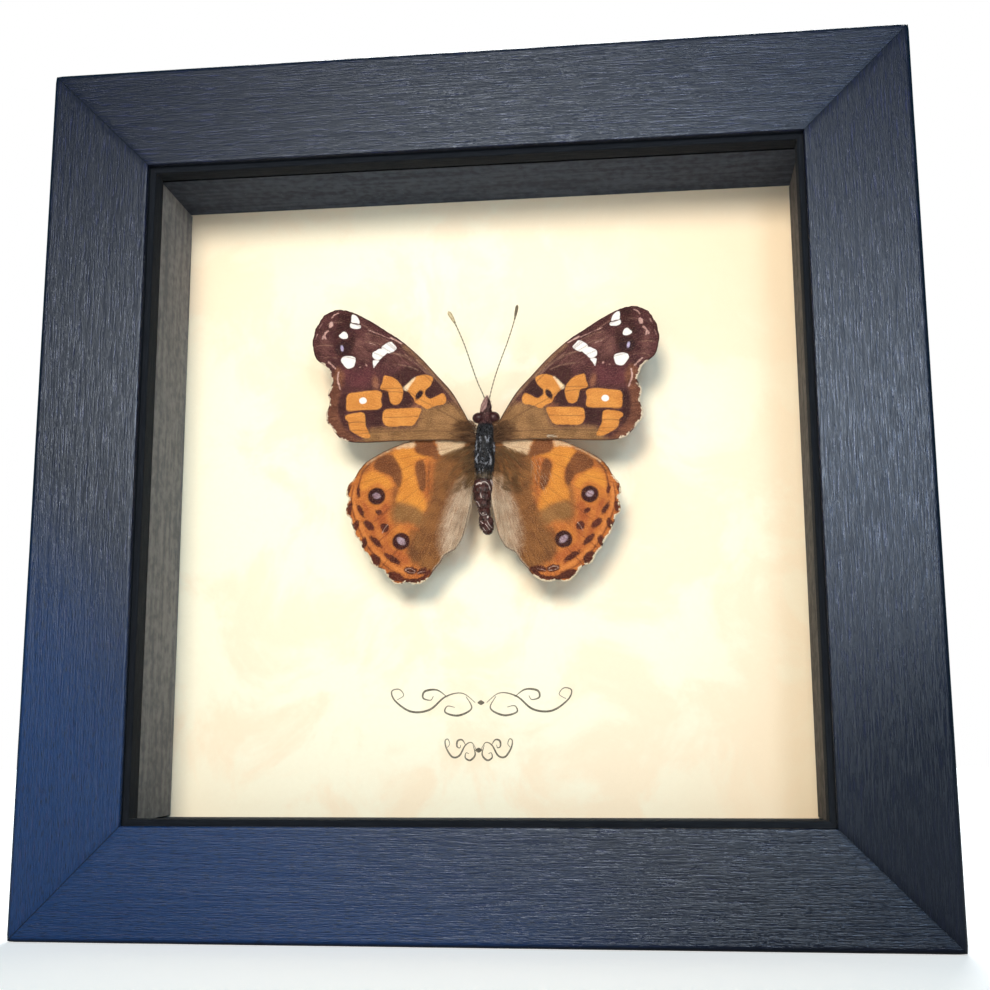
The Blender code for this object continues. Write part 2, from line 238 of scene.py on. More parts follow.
class Paint:
    """One material and short ways to add nodes to it."""

    def __init__(self, name, roughness=0.5, metallic=0.0, **settings):
        self.material = bpy.data.materials.new(name)
        self.material.use_nodes = True
        self.tree = self.material.node_tree
        self.shader = self.tree.nodes["Principled BSDF"]
        self.shader.inputs["Roughness"].default_value = roughness
        self.shader.inputs["Metallic"].default_value = metallic
        for key, value in settings.items():
            self.shader.inputs[key.replace("_", " ").title().replace("Ior", "IOR")].default_value = value

    def node(self, kind, inputs=None, **settings):
        made = self.tree.nodes.new("ShaderNode" + kind)
        for key, value in settings.items():
            setattr(made, key, value)
        for key, value in (inputs or {}).items():
            self.give(made.inputs[key], value)
        return made

    def give(self, socket, value):
        if isinstance(value, bpy.types.NodeSocket):
            self.tree.links.new(value, socket)
        elif isinstance(value, tuple) and len(value) == 3 and socket.type == "RGBA":
            socket.default_value = (*value, 1.0)
        else:
            socket.default_value = value

    def field(self, name, output="Fac"):
        return self.node("Attribute", attribute_name=name).outputs[output]

    def place(self, scale, source=None):
        """Object coordinates in millimetres, or another vector, stretched by one scale or by three."""
        scale = scale if isinstance(scale, tuple) else (scale, scale, scale)
        if source is None:
            source = self.node("TexCoord").outputs["Object"]
            scale = tuple(s / MM for s in scale)
        made = self.node("Mapping", {"Vector": source, "Scale": scale})
        return made.outputs["Vector"]

    def noise(self, where, detail=3.0, roughness=0.55, distortion=0.0):
        made = self.node("TexNoise", {"Vector": where, "Scale": 1.0, "Detail": detail,
                                      "Roughness": roughness, "Distortion": distortion})
        return made.outputs["Fac"]

    def cells(self, size):
        """Distance from the middle of the nearest of many cells."""
        return self.node("TexVoronoi", {"Vector": self.place(size), "Scale": 1.0}).outputs["Distance"]

    def math(self, operation, *values, clamp=False):
        return self.node("Math", dict(enumerate(values)), operation=operation, use_clamp=clamp).outputs[0]

    def sum(self, a, b, clamp=False):
        return self.math("ADD", a, b, clamp=clamp)

    def less(self, a, b):
        return self.math("SUBTRACT", a, b)

    def times(self, a, b):
        return self.math("MULTIPLY", a, b)

    def axes(self):
        """Object coordinates in metres, as separate outputs."""
        return self.node("SeparateXYZ", {0: self.node("TexCoord").outputs["Object"]}).outputs

    def step(self, value, low, high, start=0.0, end=1.0):
        """A smooth step from start to end as value goes from low to high."""
        made = self.node("MapRange", {"Value": value, "From Min": low, "From Max": high, "To Min": start,
                                      "To Max": end}, interpolation_type="SMOOTHSTEP")
        return made.outputs["Result"]

    def mix(self, share, a, b):
        made = self.node("Mix", data_type="RGBA")
        self.give(made.inputs[0], share)
        self.give(made.inputs[6], a)
        self.give(made.inputs[7], b)
        return made.outputs[2]

    def bump(self, height, distance, strength):
        inputs = {"Height": height, "Distance": distance * MM, "Strength": strength}
        return self.node("Bump", inputs).outputs["Normal"]

    def finish(self, base=None, roughness=None, normal=None):
        for key, value in (("Base Color", base), ("Roughness", roughness), ("Normal", normal)):
            if value is not None:
                self.give(self.shader.inputs[key], value)
        return self.material


# ---------------------------------------------------------------- frame, glass and card finishes
def stained_wood():
    """Blue-black stain over open, slightly wavy straight grain, with a dark outer arris and painted shade
    towards the lower right.
    """
    p = Paint("stained_wood", roughness=0.32, specular_ior_level=0.44, specular_tint=(0.66, 0.8, 1.0, 1.0))
    grain = p.field("grain", "Vector")
    waves = p.noise(p.place((0.05, 0.25, 0.25), grain), detail=2.0)
    swing = p.node("CombineXYZ", {"Y": p.times(waves, 0.6)})
    bent = p.node("VectorMath", {0: grain, 1: swing.outputs[0]}, operation="ADD").outputs[0]
    ridges = p.noise(p.place((0.22, 4.2, 1.0), bent), detail=3.0, roughness=0.7, distortion=0.15)
    pores = p.noise(p.place((0.6, 7.0, 1.0), bent), detail=2.0, roughness=0.7)
    cloud = p.noise(p.place((0.02, 0.03, 1.0), grain), detail=2.0)
    flat = p.axes()
    # Bluer towards the lower left and violet-black towards the top and the right, across the whole frame,
    # with random clouds.
    corner = p.sum(flat["X"], p.times(flat["Z"], 1.6))
    violet = p.sum(p.step(corner, -0.05, 0.09, 0.0, 0.9), p.times(cloud, 0.4))
    stain = p.mix(p.step(violet, 0.25, 0.95), colour(10, 42, 86), colour(8, 9, 27))
    # Towards the lower right the wood is painted darker and made a little glossier: painted shade where the
    # lamps' sheen fades.
    painted_shade_lower_right = p.less(flat["X"], flat["Z"])
    stain = p.mix(p.step(pores, 0.5, 0.66, 0.0, 0.75), stain, colour(3, 5, 13))
    stain = p.mix(p.step(ridges, 0.54, 0.64, 0.0, 0.5), stain, colour(52, 56, 88))
    stain = p.mix(p.step(painted_shade_lower_right, 0.0, 0.045, 0.0, 0.75), stain, colour(5, 6, 16))
    stain = p.mix(p.step(p.field("arris"), 0.25, 0.75, 0.75, 0.0), stain, colour(4, 5, 9))
    stain = p.mix(p.step(p.field("joint"), 0.02, 0.16, 0.85, 0.0), stain, colour(3, 4, 7))
    stain = p.mix(p.step(p.field("lip"), 0.1, 0.6), stain, colour(8, 9, 14))
    height = p.sum(ridges, p.times(pores, -0.35))
    rough = p.sum(p.step(ridges, 0.4, 0.62, 0.42, 0.26), p.times(p.field("lip"), 0.6), clamp=True)
    rough = p.less(rough, p.step(painted_shade_lower_right, 0.0, 0.05, 0.0, 0.1))
    return p.finish(stain, rough, p.bump(height, 0.08, 0.9))


def painted_strip(name, dark, light):
    """Thin paint brushed along a strip, with faint streaks and specks, and painted shade on the faces that
    look toward the front.
    """
    p = Paint(name, roughness=0.85, specular_ior_level=0.15)
    streaks = p.noise(p.place((0.7, 0.7, 0.05)), detail=3.0)
    level = p.noise(p.place((0.05, 0.7, 0.7)), detail=3.0)
    specks = p.noise(p.place(1.1), detail=1.0)
    brushed = p.times(p.sum(streaks, level), 0.5)
    paint = p.mix(p.step(brushed, 0.38, 0.62), dark, light)
    paint = p.mix(p.step(specks, 0.80, 0.84, 0.0, 0.5), paint, colour(120, 118, 112))
    # The faces that look toward the front are painted near black: painted shade against the lamps' direct
    # light.
    facing = p.node("SeparateXYZ", {0: p.node("NewGeometry").outputs["Normal"]}).outputs["Y"]
    paint = p.mix(p.step(facing, -0.8, -0.5, 0.9, 0.0), paint, colour(10, 10, 14))
    return p.finish(paint, normal=p.bump(brushed, 0.08, 0.6))


def parchment():
    """Cream card with pinker clouds and fine fibres, darker and pinker towards its corners, the top and the
    right: painted shade for the lamps' falloff.
    """
    p = Paint("parchment_card", roughness=0.85)
    clouds = p.noise(p.place(0.06), detail=5.0, roughness=0.6, distortion=0.5)
    blush = p.noise(p.place((0.022, 0.03, 0.022)), detail=2.0)
    fibres = p.noise(p.place(1.8), detail=4.0, roughness=0.7)
    flat = p.axes()
    centred = p.less(flat["Z"], HALF * MM)
    # lean grows towards the top and the right, where the card is painted darker and pinker: painted shade
    # for the lamps' falloff.
    lean = p.sum(flat["X"], centred)
    cream = p.less(clouds, p.times(lean, 0.75))
    tint = p.mix(p.step(cream, 0.41, 0.56), colour(252, 237, 211), colour(252, 248, 226))
    tint = p.mix(p.step(p.sum(blush, lean), 0.5, 0.75, 0.0, 0.5), tint, colour(247, 234, 208))
    tint = p.mix(p.step(fibres, 0.3, 0.75, 0.06, 0.0), tint, colour(214, 196, 160))
    middle = p.node("CombineXYZ", {"X": flat["X"], "Z": centred}).outputs[0]
    radius = p.node("VectorMath", {0: middle}, operation="LENGTH").outputs["Value"]
    # Darker beige towards the edges, most at the top and the right: painted shade.
    painted_falloff_shade = p.sum(p.sum(radius, p.times(clouds, 0.02)), p.times(lean, 0.16))
    tint = p.mix(p.step(painted_falloff_shade, 0.05, 0.09, 0.0, 0.75), tint, colour(246, 223, 191))
    return p.finish(tint, normal=p.bump(fibres, 0.03, 0.5))


def clear_glass():
    """A clean pane, seen only by a thin gloss."""
    p = Paint("clear_glass", roughness=0.2, alpha=0.015, specular_ior_level=0.12)
    smears = p.noise(p.place(0.03), detail=2.0)
    return p.finish(colour(10, 16, 15), p.step(smears, 0.3, 0.8, 0.22, 0.3))


def hardboard():
    """Brown pressed fibreboard with a mottled, slightly fuzzy face."""
    p = Paint("hardboard", roughness=0.8)
    fibres = p.noise(p.place(1.2), detail=5.0, roughness=0.7)
    cloud = p.noise(p.place(0.06), detail=2.0)
    board = p.mix(p.step(fibres, 0.3, 0.7), colour(92, 62, 38), colour(138, 98, 62))
    board = p.mix(p.step(cloud, 0.4, 0.7, 0.0, 0.35), board, colour(112, 80, 52))
    return p.finish(board, normal=p.bump(fibres, 0.06, 0.7))


def sheet_metal(name, bright, dull):
    """Plated sheet with rolling marks and slight tarnish."""
    p = Paint(name, roughness=0.35, metallic=1.0)
    marks = p.noise(p.place((0.3, 3.0, 3.0)), detail=3.0)
    tarnish = p.noise(p.place(0.35), detail=3.0)
    tint = p.mix(p.step(tarnish, 0.4, 0.7), bright, dull)
    return p.finish(tint, p.step(marks, 0.3, 0.7, 0.26, 0.44), p.bump(marks, 0.01, 0.4))


def foam():
    """White closed-cell foam."""
    p = Paint("pad_foam", roughness=0.9)
    cells = p.cells(3.0)
    tint = p.mix(p.step(cells, 0.0, 0.6), colour(238, 238, 234), colour(205, 205, 200))
    return p.finish(tint, normal=p.bump(cells, 0.1, 0.6))


def ink():
    """Soft grey-brown printing ink."""
    p = Paint("printed_ink", roughness=0.8)
    cover = p.noise(p.place(3.0), detail=2.0)
    return p.finish(p.mix(p.step(cover, 0.3, 0.7), colour(92, 86, 74), colour(128, 121, 105)))


# ---------------------------------------------------------------- rails
FACE_WIDTH = 17.0
STEP_DEPTH = 1.3
STEP_WIDTH = 0.95
LIP_DEPTH = 4.5
RABBET_COVER = 3.75
ARRIS = 0.8
SMALL_ARRIS = 0.25
LIP_EDGE = HALF - FACE_WIDTH - STEP_WIDTH
RABBET_WALL = LIP_EDGE + RABBET_COVER
STEP_EDGE = HALF - FACE_WIDTH + 0.3     # points nearer the middle than this lie on the lip
GRAIN_STEP = 0.25       # spacing of points across the front face
ALONG_STEPS = 130       # stretches along each rail
RELIEF = 0.02           # height of the grain's ridges
RIDGE_TOP = 0.2         # share of that height at which the ridges are worn flat
MITRE_DIP = 0.09        # depth and half width of the joint line between two rails
MITRE_WIDTH = 0.22
SHARP_EDGE = math.radians(35)
# Each rail with its turn from the top one and the place where its grain begins
RAILS = (("top", 0, 3.0), ("right", 90, 47.0), ("bottom", 180, 91.0), ("left", 270, 139.0))


def corner_arc(centre, radius, start, end, steps):
    angles = np.radians(np.linspace(start, end, steps + 1))
    return [(centre[0] + radius * math.cos(a), centre[1] + radius * math.sin(a)) for a in angles]


def run(start, end, spacing):
    """Points strictly between two ends of a straight stretch."""
    start, end = np.array(start, float), np.array(end, float)
    count = int(np.linalg.norm(end - start) / spacing)
    return [tuple(start + (end - start) * (k + 1) / (count + 1)) for k in range(count)]


def rail_section():
    """The moulding's section as (distance from the frame's middle, depth behind the front face)."""
    face_edge = HALF - FACE_WIDTH
    small = SMALL_ARRIS
    inner = corner_arc((face_edge + small, small), small, 180, 270, 3)
    outer = corner_arc((HALF - ARRIS, ARRIS), ARRIS, -90, 0, 5)
    back = corner_arc((HALF - small, DEPTH - small), small, 0, 90, 2)
    lip = corner_arc((LIP_EDGE + small, STEP_DEPTH + small), small, 180, 270, 3)
    section = inner + run(inner[-1], outer[0], GRAIN_STEP) + outer + run(outer[-1], back[0], 0.5) + back
    section += run(back[-1], (RABBET_WALL, DEPTH), 0.8)
    section += [(RABBET_WALL, DEPTH), (RABBET_WALL, LIP_DEPTH), (LIP_EDGE, LIP_DEPTH)]
    section += lip + [(face_edge, STEP_DEPTH)]
    return np.array(section)


def build_rail(name, turn, offset, mat):
    """One mitred rail with the relief of its grain, made as the top one and turned into place."""
    section = rail_section()
    tangent = np.roll(section, -1, axis=0) - np.roll(section, 1, axis=0)
    outward = unit(np.stack([tangent[:, 1], -tangent[:, 0]], 1))
    shares = np.linspace(-1.0, 1.0, ALONG_STEPS + 1)
    reach, depth, across = (np.tile(row, (len(shares), 1)) for row in (*section.T, travelled(section)))
    along = shares[:, None] * reach
    sway = 0.9 * lattice_noise(along * 0.045 + offset, across * 0.12, SEED)
    lines = lattice_noise(along * 0.11 + offset, (across + 0.5 * sway) * 1.9, SEED + 1)
    lines += 0.5 * lattice_noise(along * 0.2 + offset, (across + 0.5 * sway) * 3.1, SEED + 2)
    joint = reach - np.abs(along)
    outside = (reach > STEP_EDGE) | (depth < 0.01)
    worn = np.minimum(lines, RIDGE_TOP)
    relief = RELIEF * worn * outside * smooth(0.0, 0.6, HALF - reach + depth * 0.5 + 0.1)
    relief = relief - MITRE_DIP * (1.0 - smooth(0.0, MITRE_WIDTH, joint)) * outside
    reach_out = reach + relief * outward[None, :, 0]
    depth_out = depth + relief * outward[None, :, 1]
    along_out = np.sign(along) * np.maximum(np.abs(along) + (reach_out - reach) - 0.01, 0.0)
    radians = math.radians(turn)
    x = along_out * math.cos(radians) + reach_out * math.sin(radians)
    z = -along_out * math.sin(radians) + reach_out * math.cos(radians)
    points = np.stack([x, FRONT_Y + depth_out, HALF + z], -1).reshape(-1, 3)
    points[:, 2] = np.maximum(points[:, 2], 0.0)
    thing = add_mesh(name, points, tube_faces(len(shares), len(section)), [mat])
    thing.data.set_sharp_from_angle(angle=SHARP_EDGE)
    arris = np.maximum(HALF - reach, 0.0) + 0.4 * np.maximum(depth - ARRIS, 0.0)
    add_field(thing, "grain", np.stack([along, across, np.full(along.shape, offset)], -1).reshape(-1, 3))
    add_field(thing, "joint", joint.ravel())
    add_field(thing, "arris", arris.ravel())
    add_field(thing, "lip", ((reach < STEP_EDGE) & (depth > 0.3)).ravel())
    return thing


def build_rails():
    mat = stained_wood()
    for side, turn, offset in RAILS:
        rail = build_rail("stained_rail_" + side, turn, offset, mat)
        finish_piece(rail, "stained_wood", "frame_rail_" + side)


# ---------------------------------------------------------------- the card's printed ornament
ORNAMENT_RISE = 0.03
LOZENGE_SIZE = 0.55
LOZENGE_WIDTH = 0.8
# The two flourishes: middle (x, z), length of one half, height and pen width
FLOURISHES = ((-0.7, 35.5, 15.6, 4.6, 0.34), (-1.1, 27.8, 5.8, 3.6, 0.3))


def ribbon(route, width, lift):
    """Top points and faces of a flat pen stroke that swells in its middle."""
    line = drawn(route)
    step = np.gradient(line, axis=0)
    normal = unit(np.stack([-step[:, 1], step[:, 0]], 1))
    t = np.linspace(0.0, 1.0, len(line))
    half = 0.5 * width * (0.28 + 0.72 * np.sin(math.pi * t) ** 1.5)
    left, right = line + normal * half[:, None], line - normal * half[:, None]
    points, faces = [], []
    for low, side in ((0.0, left), (0.0, right), (lift, left), (lift, right)):
        points.append(np.stack([side[:, 0], np.full(len(side), -low), side[:, 1]], 1))
    n = len(line)
    for i in range(n - 1):
        faces += [(2 * n + i, 2 * n + i + 1, 3 * n + i + 1, 3 * n + i), (i, n + i, n + i + 1, i + 1),
                  (i, i + 1, 2 * n + i + 1, 2 * n + i), (n + i, 3 * n + i, 3 * n + i + 1, n + i + 1)]
    faces += [(0, 2 * n, 3 * n, n), (n - 1, 2 * n - 1, 4 * n - 1, 3 * n - 1)]
    return np.vstack(points), faces


def scroll(x, z, side, length, height):
    """Routes of one half of a pen flourish that runs out from its middle."""
    def at(points):
        return [(x + side * px * length, z + pz * height) for px, pz in points]

    main = at([(0.06, 0.0), (0.2, 0.34), (0.38, 0.22), (0.55, -0.24), (0.75, -0.3), (0.92, 0.08),
               (0.96, 0.42), (0.88, 0.5), (0.83, 0.28), (0.9, 0.12)])
    curl = at([(0.36, 0.2), (0.47, 0.46), (0.6, 0.42), (0.62, 0.18), (0.54, 0.1), (0.51, 0.24)])
    tail = at([(0.16, 0.22), (0.1, -0.2), (0.24, -0.45), (0.38, -0.34), (0.36, -0.12), (0.28, -0.16)])
    return [main, curl, tail]


def build_ornament():
    """A long flourish above a short one where a caption would be."""
    strokes = []
    for x, z, half_length, height, width in FLOURISHES:
        for _, side in SIDES:
            strokes += [(route, width) for route in scroll(x, z, side, half_length, height)]
        strokes.append(([(x - LOZENGE_SIZE, z), (x, z), (x + LOZENGE_SIZE, z)], LOZENGE_WIDTH))
    points, faces = [], []
    for route, width in strokes:
        more, more_faces = ribbon(route, width, ORNAMENT_RISE)
        start = sum(len(part) for part in points)
        points.append(more)
        faces += [tuple(start + i for i in face) for face in more_faces]
    points = np.vstack(points)
    points[:, 1] += CARD_Y - 0.01
    thing = add_mesh("printed_flourish", points, faces, [ink()], shade_smooth=False)
    finish_piece(thing, "card")


# ---------------------------------------------------------------- wings
WING_SPACING = 0.2      # distance between neighbouring points of a wing
WING_THICKNESS = 0.12
FOREWING_RISE = 4.6
HINDWING_RISE = 3.7
WING_LIFT = 0.025       # how much a wing rises for each millimetre out from the body
VEIN_RIDGE = 0.07       # height of a vein, and how far it spreads
VEIN_SPREAD = 0.22
PLEAT = 0.1             # height of the pleats at the veins, and their reach
PLEAT_REACH = 1.6
SWELL = 0.16            # height of the slow waves over a wing
CURL = 0.22             # how far the outer margin curls down, and from how far in
CURL_REACH = 1.8
MARGIN_TATTER = 0.14    # how far the worn outer margins wander
FOLD_BULGE = 0.8        # how much nearer the body the right hindwing's inner edge lies
FAR_OUTSIDE = -9.0      # depth given to places far from any mark
BEARING_SCALE = 14.0    # millimetres of scale pattern to one radian round the hinge
RIGHT_SIZE = 0.98       # size of the right wings against the left ones
FRINGE_WIDTHS = (0.24, 0.3)     # width of the pale fringe on the left and on the right wings

FOREWING_OUTLINE = [
    (1.9, 1.9), (2.6, 3.0), (3.7, 5.0), (5.6, 8.1), (8.1, 10.9), (11.0, 14.1), (14.1, 16.9), (17.5, 19.2),
    (20.7, 21.2), (23.1, 22.4), (25.3, 22.9), (27.4, 22.4), (28.7, 21.3), (29.3, 20.1), (29.8, 18.8),
    (30.0, 16.6), (29.5, 14.9), (29.0, 13.9), (27.8, 13.0), (26.9, 12.0), (26.3, 10.2), (26.5, 9.2),
    (27.0, 8.0), (26.7, 6.9), (26.8, 5.7), (27.2, 4.4), (27.0, 3.1), (26.1, 2.1), (25.3, 0.9),
    (24.3, 0.0), (22.5, -0.5), (19.5, -0.6), (15.0, -0.4), (10.0, -0.3), (5.5, -0.3), (1.7, -0.4),
]
HINDWING_OUTLINE = [
    (1.7, 0.3), (4.0, 0.8), (7.0, 1.0), (10.0, 0.6), (12.4, -0.1), (14.2, -0.7), (16.1, -1.5),
    (18.1, -2.5), (20.0, -3.7), (21.3, -5.1), (22.1, -6.5), (23.0, -7.7), (23.5, -9.1), (23.0, -10.2),
    (23.3, -11.4), (23.3, -12.7), (22.5, -13.7), (22.1, -15.0), (21.8, -16.2), (20.8, -17.3),
    (20.3, -18.6), (19.2, -19.8), (18.5, -21.3), (16.8, -22.2), (15.6, -23.7), (14.3, -24.5),
    (12.6, -24.3), (11.4, -24.5), (10.2, -24.3), (9.1, -23.6), (8.2, -22.3), (7.1, -20.9), (6.3, -19.5),
    (4.9, -18.8), (3.7, -17.2), (3.0, -15.2), (2.5, -13.0), (2.05, -10.7), (1.8, -8.2), (1.6, -4.5),
]
FOREWING_VEINS = [
    [(2.4, 2.6), (8.0, 9.7), (13.0, 14.7), (16.2, 17.4)],
    [(2.4, 2.3), (8.0, 8.8), (13.5, 13.8), (18.0, 17.4), (23.0, 20.4), (28.2, 21.6)],
    [(12.4, 12.9), (16.0, 16.3), (20.0, 19.5), (22.3, 21.8)],
    [(14.4, 13.9), (19.0, 16.8), (24.0, 18.9), (29.6, 19.4)],
    [(14.6, 12.8), (19.0, 15.0), (24.5, 16.7), (29.9, 16.6)],
    [(14.2, 10.3), (18.0, 12.2), (24.0, 14.4), (28.8, 13.7)],
    [(13.6, 8.8), (17.8, 8.7), (22.0, 8.7), (26.4, 9.6)],
    [(11.2, 6.9), (14.0, 5.5), (18.0, 5.0), (23.0, 4.9), (26.8, 5.6)],
    [(2.4, 1.6), (7.0, 4.6), (11.2, 6.9), (13.6, 8.8), (14.2, 10.3), (14.6, 12.8), (14.4, 13.9)],
    [(2.4, 0.9), (6.0, 1.2), (12.0, 1.3), (18.0, 1.1), (22.0, 0.8), (25.3, 0.9)],
]
HINDWING_VEINS = [
    [(2.4, 0.0), (9.0, 0.1), (15.0, -1.3), (20.4, -4.0)],
    [(2.6, -0.8), (8.0, -2.0), (14.5, -3.4), (21.6, -5.8)], [(8.3, -2.4), (15.0, -5.6), (22.9, -8.0)],
    [(9.0, -4.0), (15.5, -8.4), (23.3, -11.8)], [(9.4, -7.0), (15.5, -11.8), (22.4, -14.8)],
    [(9.0, -9.0), (14.6, -14.8), (20.5, -18.3)], [(7.0, -7.5), (11.8, -16.0), (17.6, -22.2)],
    [(3.6, -3.5), (7.5, -13.0), (12.8, -24.2)], [(2.8, -4.0), (4.6, -12.0), (8.6, -22.4)],
    [(2.6, -2.0), (6.0, -5.0), (7.0, -7.5), (9.0, -9.0), (9.4, -7.0), (9.0, -4.0), (8.3, -2.4)],
]

